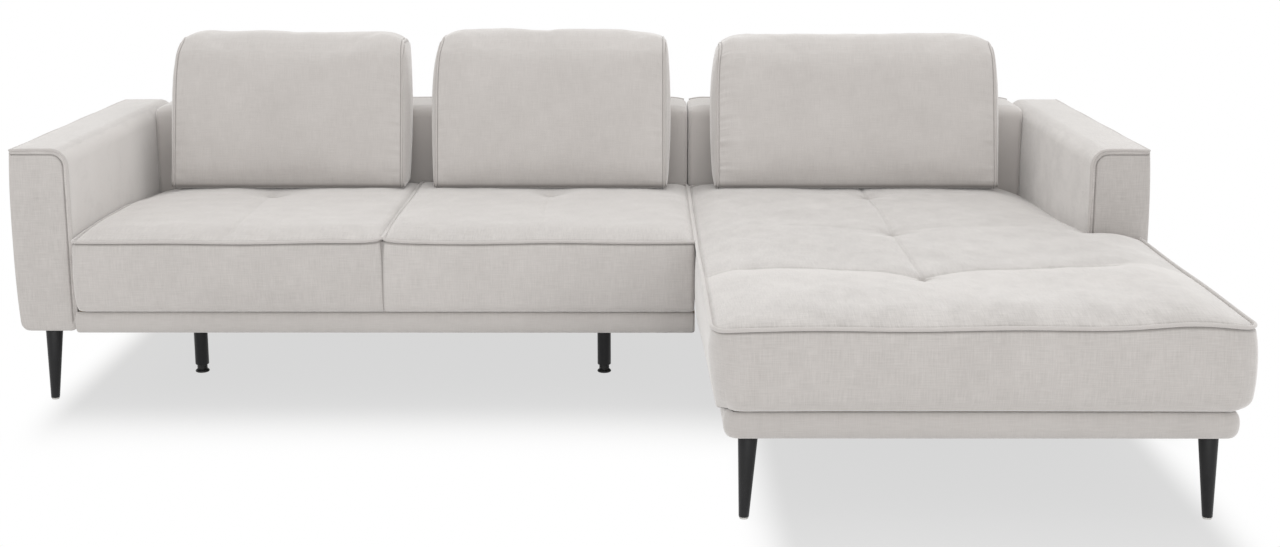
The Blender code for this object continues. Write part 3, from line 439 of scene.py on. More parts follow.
def round_in(share, radius):
    """How far a rounded rim lies inside its edge: radius * (1 - sqrt(1 - share ** 2)), with share 1 at
    the rim's end. A thousandth is left off so that the last ring keeps a width."""
    return radius * (1 - np.sqrt(1 - share * share * 0.999))


def drawn_in(values, low, high, inset):
    """Values between low and high, drawn in towards the middle so that both ends move by inset."""
    middle = (low + high) / 2
    return middle + (values - middle) * (1 - 2 * inset / (high - low))


def make_piece(name, points, blocks, flats, finish, **marks):
    """A smooth mesh from points, blocks of quads or triangles, and each corner's flat place on the cloth.
    marks are values at the points that the cloth reads: painted light and shade, crush, and seam, which is
    painted shade."""
    mesh = bpy.data.meshes.new(name)
    sizes = np.concatenate([np.full(len(block), block.shape[1]) for block in blocks])
    loops = np.concatenate([block.ravel() for block in blocks])
    mesh.vertices.add(len(points))
    mesh.vertices.foreach_set("co", np.ascontiguousarray(points, np.float32).ravel())
    mesh.loops.add(len(loops))
    mesh.loops.foreach_set("vertex_index", loops.astype(np.int32))
    mesh.polygons.add(len(sizes))
    mesh.polygons.foreach_set("loop_start", (np.cumsum(sizes) - sizes).astype(np.int32))
    mesh.update(calc_edges=True)
    flat = np.concatenate([part.reshape(-1, 2) for part in flats]).astype(np.float32)
    mesh.uv_layers.new(name="cloth").data.foreach_set("uv", flat.ravel())
    for mark, values in marks.items():
        layer = mesh.attributes.new(mark, "FLOAT", "POINT")
        layer.data.foreach_set("value", np.broadcast_to(values, len(points)).astype(np.float32))
    mesh.shade_smooth()
    mesh.materials.append(finish)
    return placed(name, mesh)


def make_ringed(name, rings, ends, run, around, finish, **marks):
    """A piece from rings of points: quads from each ring to the next, and a fan from each end's point,
    or quads back to the first ring where ends is None. run and around are the flat places of the rings
    and of the points along a ring."""
    count, sides = rings.shape[:2]
    row, column = np.arange(count if ends is None else count - 1)[:, None], np.arange(sides)[None]
    following, beside = (row + 1) % count, (column + 1) % sides
    quads = np.stack(
        [row * sides + column, row * sides + beside, following * sides + beside, following * sides + column],
        axis=-1)
    a, b, c, d = run[:-1, None], run[1:, None], around[:-1], around[1:]
    corners = ((a, c), (a, d), (b, d), (b, c))
    flat = np.stack([np.stack(np.broadcast_arrays(*corner), axis=-1) for corner in corners], axis=2)
    points, blocks, flats = rings.reshape(-1, 3), [quads.reshape(-1, 4)], [flat.reshape(-1, 4, 2)]
    if ends is not None:
        turn, last = np.arange(sides), (count - 1) * sides
        onward = (turn + 1) % sides
        blocks.append(np.concatenate([
            np.stack([np.full(sides, count * sides), onward, turn], -1),
            np.stack([np.full(sides, count * sides + 1), last + turn, last + onward], -1)]))
        flats.append(np.zeros((2 * sides, 3, 2)))
        points = np.concatenate([points, ends])
    return make_piece(name, points, blocks, flats, finish, **marks)


def run_along(path):
    """How far along a path each of its points lies."""
    return np.concatenate([[0], np.cumsum(np.linalg.norm(np.diff(path, axis=0), axis=1))])


def unit(vectors):
    """The same directions with length 1."""
    return vectors / np.linalg.norm(vectors, axis=1)[:, None]


def fasten(piece, body, slot, *nodes, fill=None):
    """Rides a piece on its body, in place of its nodes. fill, how full a padded one is from 0 to 1, is not
    used."""
    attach(piece, body)
    if nodes:
        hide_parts(*nodes)


def make_cord(name, path, radius, up, closed=False):
    """A round cord of cloth along a path: each ring is a circle of the radius, square to the path there.

    up is a direction that the path never takes. An open cord has a flat cap at each end.
    """
    sides = 10
    ahead = unit(np.roll(path, -1, 0) - np.roll(path, 1, 0) if closed else np.gradient(path, axis=0))
    side = unit(np.cross(ahead, up))
    over = np.cross(side, ahead)
    turn = (np.arange(sides) * 2 * math.pi / sides)[None, :, None]
    rings = path[:, None] + radius * (np.cos(turn) * side[:, None] + np.sin(turn) * over[:, None])
    run = run_along(np.concatenate([path, path[:1]]) if closed else path)
    around = np.arange(sides + 1) * 2 * math.pi * radius / sides
    cord = make_ringed(name, rings, None if closed else path[[0, -1]], run, around, upholstery)
    fasten(cord, "frame", "upholstery_fabric")


def arc(centre, radius, start, end, count):
    """Points on an arc in a plane, by the cosine and sine of an even run of angles in degrees."""
    angle = np.radians(np.linspace(start, end, count))
    return np.stack([centre[0] + radius * np.cos(angle), centre[1] + radius * np.sin(angle)], axis=1)


def even_path(points, step):
    """The same path with its points evenly spaced."""
    points = np.asarray(points, float)
    run = run_along(points)
    wanted = np.linspace(0, run[-1], max(2, round(run[-1] / step)))
    return np.stack([np.interp(wanted, run, points[:, i]) for i in range(points.shape[1])], axis=1)


def soft_waves(points, size, height, seed):
    """A slow uneven swell: the mean of six sine waves of random direction and phase, near the size given."""
    chance = np.random.default_rng(seed)
    total = np.zeros(len(points))
    for _ in range(6):
        direction = chance.normal(size=3)
        direction /= np.linalg.norm(direction)
        total += np.sin(
            points @ direction * 2 * math.pi / (size * chance.uniform(0.7, 1.4)) + chance.uniform(0, 6.3))
    return height * total / 6


ARM_TOP_RADIUS = 0.038
ARM_OUTER_RADIUS = 0.006
ARM_FOOT_RADIUS = 0.020
ARM_RIM = 0.006
ARM_FRONT_BULGE = 0.005
ARM_SIDE_BULGE = 0.0075
ARM_INNER_BULGE = 0.0015
ARM_TOP_CROWN = 0.003
ARM_WAVES = (0.21, 0.0016)
ARM_GROOVE_PLACE = 0.0062
ARM_GROOVE_WIDTH = 0.0016
ARM_GROOVE_DEPTH = 0.0055
WELT_RADIUS = 0.0030
WELT_PROUD = 0.0006
BOX_FADE = 0.03
BOX_TOP_FADE = 0.02
BOX_FILL = 0.85
UNDER_EDGE = 0.0105
UNDER_RISE = 0.0028
SAME_PLACE = 1e-6


def turned_under(rest, low, high):
    """How far the cloth under a box rises to where the timber takes over: nothing as far in as
    UNDER_EDGE, and UNDER_RISE from twice that on."""
    from_edge = np.minimum(rest[:, :2] - low[:2], high[:2] - rest[:, :2]).min(axis=1)
    return UNDER_RISE * np.clip(from_edge / UNDER_EDGE - 1, 0, 1) * (rest[:, 2] < low[2] + SAME_PLACE)


def make_arm(name, side, front_nap, inner_nap, seed):
    """An arm from its section, with a sharp outer top edge, a soft inner one and a rounded foot, carried
    from front to back. It is worked out for the left, where side is 1, and mirrored for the right, where
    it is -1. Each face swells in its middle, with u, v and w from -1 to 1 across, up and along the arm,
    and a groove runs beside the front welt."""
    low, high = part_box(name + "_cover")
    width, length, bottom, top = high.x - low.x, high.y - low.y, low.z, high.z
    outer = low.x if side > 0 else high.x
    rest, quads, flat = block_skin(
        grid_lines(
            0, 0.002, 0.006, 0.004, 0.012, 0.012, width - ARM_TOP_RADIUS, 0.003,
            width - 0.012, 0.0009, width),
        grid_lines(0, 0.0015, ARM_RIM, 0.009, length - ARM_RIM, 0.0015, length),
        grid_lines(
            bottom, 0.003, bottom + 0.012, 0.010, top - ARM_TOP_RADIUS, 0.003, top - 0.012, 0.0009, top))
    across, back, up = rest.T
    u = np.clip(2 * across / width - 1, -1, 1)
    v = np.clip(2 * (up - bottom) / (top - bottom) - 1, -1, 1)
    w = np.clip(2 * back / length - 1, -1, 1)
    facing_in = near(width - across, 0.01)
    near_front, near_rear = near(back, ARM_RIM), near(length - back, ARM_RIM)

    past_x, past_z = across - (width - ARM_TOP_RADIUS), up - (top - ARM_TOP_RADIUS)
    round_x, round_z = round_corner(past_x, past_z, (ARM_TOP_RADIUS,) * 2, (1, 1), ARM_TOP_RADIUS)
    beside_welt = np.where(
        (past_x > 0) & (past_z > 0), ARM_TOP_RADIUS - np.hypot(round_x, round_z),
        np.minimum(top - up, np.where(v > -0.93, width - across, 1.0)))
    groove = np.exp(-((beside_welt - ARM_GROOVE_PLACE) / ARM_GROOVE_WIDTH) ** 2) * (near_front > 0.9)

    across, up = round_section(
        across, up, (0.0, bottom), (width, top),
        (ARM_FOOT_RADIUS, ARM_FOOT_RADIUS, ARM_OUTER_RADIUS, ARM_TOP_RADIUS))
    for rim in (near_front, near_rear):
        inset = round_in(rim, ARM_RIM)
        across, up = drawn_in(across, 0.0, width, inset), drawn_in(up, bottom, top, inset)
    fullness = (1 - u ** 4) * (1 - v ** 4)
    back = back - near_front * (ARM_FRONT_BULGE * fullness - ARM_GROOVE_DEPTH * groove)
    outside = near(across, BOX_FADE)
    across = across - outside * ARM_SIDE_BULGE * (1 - np.abs(v) ** 2.6)
    inside = near(width - across, BOX_FADE)
    across = across + inside * ARM_INNER_BULGE * (1 - v ** 4) * (1 - w ** 6)
    on_top = near(top - up, BOX_TOP_FADE)
    up = up + on_top * ARM_TOP_CROWN * (1 - u ** 2) * (1 - w ** 8)
    swell = soft_waves(rest, *ARM_WAVES, seed)
    across = across + swell * (inside - outside) * (1 - v ** 8) * (1 - w ** 8)
    up = up + turned_under(rest, (0.0, 0.0, bottom), (width, length, top))
    made = np.stack([outer + side * across, low.y + back, up], axis=1)
    if side < 0:
        quads, flat = quads[:, ::-1], flat[:, ::-1]
    # The cover carries painted light on the inner face, lighter towards its top and most on the left arm,
    # painted shade on the right arm's front, and painted shade in the groove beside the welt.
    cover = make_piece(
        name + "_upholstery", made, [quads], [flat], upholstery,
        nap=front_nap * near_front + (inner_nap + 0.25 * v) * facing_in * (1 - near_front),
        crush=0.15 + 0.75 * facing_in + 0.2 * on_top, seam=0.45 * groove)
    fasten(cover, "frame", "upholstery_fabric", name + "_cover", fill=BOX_FILL)

    inset = ARM_RIM * (1 - math.sqrt(0.5))
    rim_top, rim_inner = top - inset + WELT_PROUD, width - inset + WELT_PROUD
    turn = arc((rim_inner - ARM_TOP_RADIUS, rim_top - ARM_TOP_RADIUS), ARM_TOP_RADIUS, 90, 0, 14)
    line = even_path(
        [(0.0025, rim_top - 0.0015), (0.006, rim_top), *turn, (rim_inner, bottom + 0.010)], 0.005)
    bow = 0.0012 * np.sin(line[:, 1] * 31 + seed)
    crown = np.clip(1 - (2 * line[:, 0] / width - 1) ** 2, 0, 1) * (line[:, 1] > top - 0.02)
    make_cord(name + "_front_welt", np.stack([
        outer + side * (line[:, 0] + 0.3 * bow), np.full(len(line), low.y + inset),
        line[:, 1] + ARM_TOP_CROWN * 0.6 * crown], axis=1), WELT_RADIUS, (0.0, 1.0, 0.0))
    run = np.linspace(low.y + 0.003, high.y - 0.005, 120)
    make_cord(name + "_top_welt", np.stack([
        np.full(120, outer + side * 0.0018), run,
        top - 0.0022 + 0.0006 * np.sin(run * 23 + seed)], axis=1), WELT_RADIUS, (0.0, 0.0, 1.0))


make_arm("left_arm", 1, 0.0, 0.48, 3)
make_arm("right_arm", -1, -0.28, 0.05, 8)


# Backs: two padded boxes between the arms, of the same build, whose soft ends meet in a seam above
# the place where the two sections join. A welt closes the rear panel along the top.

BACK_TOP_RADIUS = 0.036
BACK_REAR_RADIUS = 0.010
BACK_FOOT_RADIUS = 0.014
BACK_END_RADIUS = 0.014
BACK_FRONT_BULGE = 0.003
BACK_REAR_BULGE = 0.004
BACK_WAVES = (0.3, 0.0015)
BACK_DROP = 0.006
BACK_DROP_REACH = 0.05


def make_back(name, seed):
    """A back from its section, a rectangle with a soft front top corner, carried from end to end. The top
    lies lower than the solid by BACK_DROP * (0.7 + 1.3 * (1 - distance / BACK_DROP_REACH) ** 2), with
    the distance to the nearer end."""
    low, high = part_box(name + "_cover")
    rest, quads, flat = block_skin(
        grid_lines(low.x, 0.0025, low.x + BACK_END_RADIUS, 0.012, high.x - BACK_END_RADIUS, 0.0025, high.x),
        grid_lines(low.y, 0.005, low.y + BACK_TOP_RADIUS, 0.012, high.y - 0.014, 0.003, high.y),
        grid_lines(low.z, 0.004, low.z + 0.014, 0.012, high.z - BACK_TOP_RADIUS, 0.004, high.z))

    def from_end(x):
        return np.minimum(x - low.x, high.x - x)

    def drop(x):
        return BACK_DROP * (0.7 + 1.3 * near(from_end(x), BACK_DROP_REACH) ** 2)

    x, y, z = rest.T
    u = 2 * (x - low.x) / (high.x - low.x) - 1
    v = 2 * (z - low.z) / (high.z - low.z) - 1
    y, z = round_section(
        y, z, (low.y, low.z), (high.y, high.z),
        (BACK_FOOT_RADIUS, BACK_FOOT_RADIUS, BACK_TOP_RADIUS, BACK_REAR_RADIUS))
    inset = round_in(near(from_end(x), BACK_END_RADIUS), BACK_END_RADIUS)
    y, z = drawn_in(y, low.y, high.y, inset), drawn_in(z, low.z, high.z, inset)
    swell = soft_waves(rest, *BACK_WAVES, seed)
    at_front, at_rear = near(y - low.y, BOX_FADE), near(high.y - y, BOX_FADE)
    y = y - at_front * (BACK_FRONT_BULGE + swell) * (1 - u ** 8) * (1 - v ** 6)
    y = y + at_rear * (BACK_REAR_BULGE + swell) * (1 - u ** 8) * (1 - v ** 6)
    on_top = near(high.z - z, BOX_TOP_FADE)
    z = z + on_top * (swell * (1 - u ** 8) - drop(x)) + turned_under(rest, low, high)
    # The front of the back, which lies in shade between the cushions, is lightened by painted light.
    cover = make_piece(
        name + "_upholstery", np.stack([x, y, z], axis=1), [quads], [flat], upholstery,
        nap=0.65 * np.clip(2 * at_front, 0, 1), crush=0.12)
    fasten(cover, "frame", "upholstery_fabric", name + "_cover", fill=BOX_FILL)
    run = np.linspace(low.x + 0.006, high.x - 0.006, 160)
    make_cord(name + "_top_welt", np.stack([
        run, np.full(160, high.y - 0.0025), high.z - drop(run) - 0.0012 + 0.0005 * np.sin(run * 27)],
        axis=1), WELT_RADIUS, (0.0, 0.0, 1.0))


make_back("sofa_back", 11)
make_back("chaise_back", 12)


# Borders: a padded roll of cloth that hides the rails under the cushions, straight along the sofa's
# front and one strip round the chaise, with the corners turned on a small radius.

BORDER_TURN = 0.032
BORDER_DEPTH = 0.0262
BORDER_POWER = 2.1
BORDER_SIDES = 40
BORDER_STEP = 0.006
BORDER_END = 0.006
BORDER_END_STEPS = (0.0002, 0.001, 0.0025, 0.0045)
BORDER_GIRTH_STEP = 0.0033
BORDER_TOP = 0.2318
BORDER_FRONT_LIFT = 0.0024
BORDER_LIFT_REACH = 0.04
BORDER_WAVES = (0.16, 0.0012)
BORDER_FILL = 0.9


def make_border(name, line, nodes, front_lift, nap, seed):
    """A roll along a line in plan, from a section that is a superellipse of power BORDER_POWER with its
    outer side on the line. Its upper half rises by front_lift * exp(-distance / BORDER_LIFT_REACH) behind
    the line's foremost place, to meet the cushion's turned edge."""
    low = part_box(nodes[0])[0]
    height = BORDER_TOP - low.z
    angle = np.linspace(0, 2 * math.pi, BORDER_SIDES, endpoint=False)
    out, up = [
        np.sign(wave) * np.abs(wave) ** (2 / BORDER_POWER) * size / 2
        for wave, size in ((np.cos(angle), BORDER_DEPTH), (np.sin(angle), height))]
    line = even_path(line, BORDER_STEP)
    steps = np.array(BORDER_END_STEPS)[:, None]
    first, last = line[1] - line[0], line[-2] - line[-1]
    line = np.concatenate([
        line[:1], line[0] + steps * first / np.linalg.norm(first), line[1:-1],
        line[-1] + steps[::-1] * last / np.linalg.norm(last), line[-1:]])
    run = run_along(line)
    pinch = round_in(near(np.minimum(run, run[-1] - run), BORDER_END), BORDER_END)[:, None]
    ahead = unit(np.gradient(line, axis=0))
    outward = np.stack([ahead[:, 1], -ahead[:, 0]], axis=1)
    place = np.concatenate([line, np.zeros((len(line), 1))], axis=1)
    swell = soft_waves(place, *BORDER_WAVES, seed)[:, None] * np.clip(out / BORDER_DEPTH * 2, 0, 1)
    reach = out * (1 - pinch / BORDER_DEPTH * 2) + swell - BORDER_DEPTH / 2
    plan = line[:, None] + outward[:, None] * reach[..., None]
    lift = front_lift * np.exp(-(line[:, 1] - line[:, 1].min()) / BORDER_LIFT_REACH)
    rise = low.z + height / 2 + up * (1 - pinch / height * 2)
    rise = rise + lift[:, None] * np.clip(up / height * 2, 0, 1)
    rings = np.concatenate([plan, rise[..., None]], axis=2)
    around = np.arange(BORDER_SIDES + 1) * BORDER_GIRTH_STEP
    # The roll's cloth is darkened by the painted shade given.
    roll = make_ringed(name, rings, rings[[0, -1]].mean(axis=1), run, around, upholstery, nap=nap)
    fasten(roll, "frame", "upholstery_fabric", *nodes, fill=BORDER_FILL)


low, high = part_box("sofa_border")
make_border("sofa_border_roll", [(low.x, low.y), (high.x - 0.001, low.y)], ["sofa_border"], 0.0, -0.12, 21)

front_low, front_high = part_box("chaise_front_border")
chaise_line = np.concatenate([
    [(front_low.x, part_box("chaise_left_border")[1].y)],
    arc((front_low.x + BORDER_TURN, front_low.y + BORDER_TURN), BORDER_TURN, 180, 270, 10),
    arc((front_high.x - BORDER_TURN, front_low.y + BORDER_TURN), BORDER_TURN, -90, 0, 10),
    [(front_high.x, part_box("chaise_right_border")[1].y)]])
make_border(
    "chaise_border_roll", chaise_line, ["chaise_front_border", "chaise_left_border", "chaise_right_border"],
    BORDER_FRONT_LIFT, -0.26, 22)


# Fixed seat cushions: foam in a sewn cover, a crowned top panel piped to an upright boxing that
# swells between its seams. A tuft near the back cushion and a quilted line pull the top down.

SEAT_SEAM_TOP = 0.41
SEAT_ROUND = 0.020
SEAT_SPLIT_RADIUS = 0.0034
SEAT_BULGE = 0.008
SEAT_UNDER_RADIUS = 0.020
SEAT_CROWN = 0.016
SEAT_CROWN_REACH = 0.125
SEAT_REAR_REACH = 0.08
SEAT_NOTCH_REACH = 0.06
SEAT_SAG = 0.002
SEAT_SAG_START = 0.40
SEAT_SAG_REACH = 0.10
SEAT_WAVES = (0.17, 0.0028)
SEAT_FINE_WAVES = (0.055, 0.0008)
SEAT_WALL_WAVES = (0.19, 0.0015)
SEAT_CORNER_EASE = 0.4
SEAT_SWELL = 0.005
SEAT_WALL_FADE = 0.05
SEAT_FILL = 0.007
SEAT_WALL_FILL = 0.0035
SEAT_PIPING = 0.0036
PIPING_OUT = 0.0018
PIPING_UP = 0.0006
PIPING_WAVE = 0.0010
TOP_GROOVE = 0.0030
TOP_GROOVE_PLACE = 0.005
TOP_GROOVE_WIDTH = 0.003
WALL_GROOVE = 0.0055
WALL_GROOVE_PLACE = 0.0045
WALL_GROOVE_WIDTH = 0.0028
SPLIT_OPENING = 0.012
SPLIT_RISE = 0.0085
SPLIT_RISE_REACH = 0.028
ARM_RISE_REACH = 0.10
TAPER_DROP = 0.006
TAPER_DROP_REACH = 0.075
TAPER_REACH = 0.68
TAPER_HEIGHT = 0.13
TUCK_REACH = 0.05
CREASE_WIDTH = 0.0045
EYE_WIDTH = 0.008
SEAT_TUFT_Y = 0.432
TUFT_DEPTH = 0.0085
TUFT_WIDTH = 0.030
TUFT_HOLD = 0.009
FILL_FRAMES = 20
FILL_PRESSURE = 4.0
FILL_SLACK = 0.004
FILL_GRID = 0.016


def blown_up(shape, lines, held, fill, rest, calm, filled=None):
    """How far a sewn cover moves when it is filled, at each of the places rest on the block it was cut as.

    Cloth simulation on a coarser skin of the same block: some frames of pressure from inside, no gravity,
    a little slack, held where held() is 1. The way of each point is evened out with its neighbours' calm
    times, capped as cap * tanh(way / cap) with the cap that fill() gives, and read off at rest by linear
    interpolation along the block's three axes.
    """
    places, quads, _ = block_skin(*lines, filled)
    start = shape(places)
    mesh = bpy.data.meshes.new("cloth_trial")
    mesh.from_pydata(start.tolist(), [], quads.tolist())
    trial = placed("cloth_trial", mesh)
    pins = trial.vertex_groups.new(name="held")
    weights = held(places).astype(float)
    pins.add(np.flatnonzero(weights).tolist(), 1.0, "REPLACE")
    cloth = trial.modifiers.new("cloth", "CLOTH")
    cloth.settings.quality = 5
    cloth.settings.mass = 0.2
    cloth.settings.bending_stiffness = 0.4
    cloth.settings.use_pressure = True
    cloth.settings.uniform_pressure_force = FILL_PRESSURE
    cloth.settings.shrink_min = -FILL_SLACK
    cloth.settings.vertex_group_mass = "held"
    cloth.settings.effector_weights.gravity = 0.0
    cloth.collision_settings.use_collision = False
    cloth.point_cache.frame_end = FILL_FRAMES
    for step in range(FILL_FRAMES):
        bpy.context.scene.frame_set(step + 1)
    filled_out = np.empty(len(places) * 3, np.float32)
    trial.evaluated_get(bpy.context.evaluated_depsgraph_get()).data.vertices.foreach_get("co", filled_out)
    bpy.data.objects.remove(trial)
    bpy.context.scene.frame_set(1)
    way = filled_out.reshape(-1, 3) - start
    shared = np.bincount(quads.ravel(), minlength=len(places))[:, None]
    for _ in range(calm):
        total = np.zeros_like(way)
        np.add.at(total, quads.ravel(), np.repeat(way[quads].mean(axis=1), 4, axis=0))
        way = total / shared * (1 - weights[:, None])
    length = np.maximum(np.linalg.norm(way, axis=1), 1e-9)[:, None]
    cap = fill(places)[:, None]
    way = way / length * cap * np.tanh(length / cap)
    known = np.zeros([len(line) for line in lines] + [3])
    known[tuple(np.searchsorted(line, places[:, i] - 1e-7) for i, line in enumerate(lines))] = way
    cells, shares = [], []
    for i, line in enumerate(lines):
        cell = np.clip(np.searchsorted(line, rest[:, i] + 1e-7) - 1, 0, len(line) - 2)
        cells.append(cell)
        shares.append(np.clip((rest[:, i] - line[cell]) / (line[cell + 1] - line[cell]), 0, 1))
    moved = np.zeros_like(rest)
    for corner in np.ndindex(2, 2, 2):
        share = math.prod(part if step else 1 - part for step, part in zip(corner, shares))
        moved += share[:, None] * known[tuple(cell + step for cell, step in zip(cells, corner))]
    return moved


def ease(distance, reach, power=2.2):
    """0 at an edge and 1 past the reach: 1 - (1 - distance / reach) ** power."""
    return 1 - (1 - np.clip(distance / reach, 0, 1)) ** power


def to_line(x, y, line):
    """The distance from each point to a bent line in plan, the least of those to its straight pieces."""
    nearest = np.full(len(x), 9.0)
    for (ax, ay), (bx, by) in zip(line, line[1:]):
        dx, dy = bx - ax, by - ay
        share = np.clip(((x - ax) * dx + (y - ay) * dy) / (dx * dx + dy * dy), 0, 1)
        nearest = np.minimum(nearest, np.hypot(x - ax - share * dx, y - ay - share * dy))
    return nearest


def pulled(x, y, tufts, folds):
    """How deep the stitching draws a top down, and how far inside a crease each point lies, from 0 to 1.

    A fold is depth * exp(-distance / width) with a narrow crease in its bottom, and a tuft a round pit
    with a few small rays and a narrow eye."""
    total, crease = np.zeros(len(x)), np.zeros(len(x))
    for line, depth, width in folds:
        far = to_line(x, y, line)
        narrow = np.exp(-(far / CREASE_WIDTH) ** 2)
        total = np.maximum(total, depth * (np.exp(-far / width) + 0.25 * narrow))
        crease = np.maximum(crease, narrow * depth / 0.010)
    for cx, cy in tufts:
        far = np.hypot(x - cx, y - cy)
        rays = 1 + 0.25 * np.cos(5 * np.arctan2(y - cy, x - cx) + cx * 9) * np.exp(-far / (TUFT_WIDTH * 1.5))
        eye = np.exp(-(far / EYE_WIDTH) ** 2)
        total = np.maximum(total, TUFT_DEPTH * (np.exp(-(far / TUFT_WIDTH) ** 1.25) * rays + 0.35 * eye))
        crease = np.maximum(crease, eye)
    return total, np.clip(crease, 0, 1)


def cells_kept(xs, ys, zs, notch):
    """Which cells of a block are filled where the corner past the notch, in plan, is cut out of it."""
    if notch is None:
        return None
    middle_x, middle_y = [(line[1:] + line[:-1]) / 2 for line in (xs, ys)]
    cut = (middle_x[:, None] > notch[0]) & (middle_y > notch[1])
    return np.repeat(~cut[:, :, None], len(zs) - 1, axis=2)


def make_seat(
        node, low, high, lines_x, lines_y, corners, sides, reaches, tufts, folds, seed, wall_nap, top_nap,
        top_crush, notch=None, steady_corner=None, right_swell=0.0, under_radius=SEAT_UNDER_RADIUS,
        tucks=(0.0, 0.0), taper=0.0, arm_line=None, split=None, piping=SEAT_PIPING):
    """A fixed cushion. s runs from 0 under the boxing to 1 at the piping: the walls stand out by
    bulge * (4 * s * (1 - s)) ** 0.8, and inside the seam the top rises by crown * ease to each edge.

    corners are the radii in plan at the left front, right front, left rear and right rear, eased towards
    the top but for the steady one. sides say how freely the left and right walls swell, right_swell how
    much further the right one does, and reaches how far in from the left, right and front the crown takes
    to rise. The wall turns under on under_radius, on the left and right times tucks. taper is how far the
    left wall leans in at its front end, arm_line the rise and fall of the top along the arm at a given x,
    split the x of the seam between the two seats, and notch the corner of the arm that the cushion passes."""
    x0, y0, z0 = low
    x1, y1, z1 = high
    zs = grid_lines(z0, 0.004, z0 + under_radius, 0.009, z1 - 0.014, 0.0012, z1)
    rest, quads, flat = block_skin(lines_x, lines_y, zs, cells_kept(lines_x, lines_y, zs, notch))

    def shape(points):
        x, y, z = points.T
        s = (z - z0) / (z1 - z0)
        on_top = s > 1 - SAME_PLACE
        left, right, front, rear = x - x0, x1 - x, y - y0, y1 - y
        plan = ease(left, reaches[0]) * ease(right, reaches[1]) * ease(front, reaches[2])
        plan = plan * ease(rear, SEAT_REAR_REACH)
        if notch is not None:
            notch_gap = np.hypot(np.clip(notch[0] - x, 0, None), np.clip(notch[1] - y, 0, None))
            plan = plan * ease(notch_gap, SEAT_NOTCH_REACH)
        from_seam = np.minimum(np.minimum(left, right), np.minimum(front, rear))
        dent = pulled(x, y, tufts, folds)[0] * np.clip(plan * 3, 0, 1)
        dent = dent + TOP_GROOVE * np.exp(-((from_seam - TOP_GROOVE_PLACE) / TOP_GROOVE_WIDTH) ** 2)
        swell = soft_waves(points, *SEAT_WAVES, seed) * plan
        fine = soft_waves(points, *SEAT_FINE_WAVES, seed + 50) * plan
        beneath_cushion = np.clip((y - SEAT_SAG_START) / SEAT_SAG_REACH, 0, 1)
        sag = SEAT_SAG * beneath_cushion ** 2 * (3 - 2 * beneath_cushion)
        top = (SEAT_CROWN - sag) * plan - dent + swell + fine
        middle = np.clip(4 * s * (1 - s), 0, 1)
        groove = WALL_GROOVE * np.exp(-((z1 - WALL_GROOVE_PLACE - z) / WALL_GROOVE_WIDTH) ** 2)
        bulge = SEAT_SWELL * middle ** 0.8 - groove + soft_waves(points, *SEAT_WALL_WAVES, seed + 9) * middle
        ear = np.zeros(len(x))
        if split is not None:
            ear = ear + SPLIT_RISE * np.exp(-np.abs(x - split) / SPLIT_RISE_REACH) * s ** 6
        if arm_line is not None:
            along = np.interp(y, arm_line[1], arm_line[2])
            ear = ear + along * np.exp(-((x - arm_line[0]) / ARM_RISE_REACH) ** 2) * s ** 4
        if taper:
            ear = ear - TAPER_DROP * np.exp(-np.hypot(left, front) / TAPER_DROP_REACH) * s ** 4
        radii = list(corners)
        for i, radius in enumerate(corners):
            if i != steady_corner:
                eased = radius * (1 - SEAT_CORNER_EASE * s ** 4)
                radii[i] = eased if radius > SEAT_SPLIT_RADIUS else radius + SPLIT_OPENING * s ** 8
        x, y = round_section(x, y, (x0, y0), (x1, y1), radii)
        tuck = round_in(near(z - z0, under_radius), under_radius)
        near_front = np.exp(-np.clip(front, 0, None) / TUCK_REACH)
        leaning = taper * near(front, TAPER_REACH) ** 0.8 * (0.3 * s + near(z - z0, TAPER_HEIGHT) ** 1.2)
        left_out = sides[0] * bulge - tucks[0] * tuck * near_front - leaning
        right_out = sides[1] * bulge + right_swell * middle ** 0.8 - tucks[1] * tuck * near_front
        x = x - near(left, SEAT_WALL_FADE) * left_out
        x = x + near(right, SEAT_WALL_FADE) * right_out
        y = y - near(front, SEAT_WALL_FADE) * (bulge - tuck)
        y = y + near(rear, SEAT_WALL_FADE) * (bulge - tuck)
        wave = PIPING_WAVE * (np.sin(x * 17 + seed) + np.sin(y * 13 + x * 7 + seed)) * s
        return np.stack([x, y, z + wave + ear + on_top * top], axis=1)

    def held(places):
        x, y, z = places.T
        at_side = (x < x0 + SAME_PLACE) | (x > x1 - SAME_PLACE)
        at_seam = (at_side | (y < y0 + SAME_PLACE)) & (z > z1 - SAME_PLACE)
        fixed = (z < z0 + SAME_PLACE) | (y > y1 - SAME_PLACE) | at_seam
        if notch is None:
            fixed = fixed | at_side
        else:
            fixed = fixed | ((x > notch[0] - SAME_PLACE) & (y > notch[1] - SAME_PLACE))
        for cx, cy in tufts:
            fixed = fixed | (np.hypot(x - cx, y - cy) < TUFT_HOLD)
        return fixed

    def fill(places):
        x, y, z = places.T
        free = np.clip((-0.07 - y) / 0.05, 0.05, 1) if notch is not None else 1.0
        wall = np.where(x < x0 + SAME_PLACE, SEAT_WALL_FILL * free, SEAT_WALL_FILL)
        return np.where(z > z1 - SAME_PLACE, SEAT_FILL, wall)

    stops = [
        sorted({low[axis], high[axis], *(place[axis] for place in tufts + ([notch] if notch else []))})
        for axis in (0, 1)]
    coarse = [
        grid_lines(*[part for stop in row[:-1] for part in (stop, FILL_GRID)], row[-1])
        for row in (*stops, [z0, z1])]
    swollen = shape(rest) + blown_up(shape, coarse, held, fill, rest, 4, cells_kept(*coarse, notch))

    x, y, z = rest.T
    on_top = z > z1 - SAME_PLACE
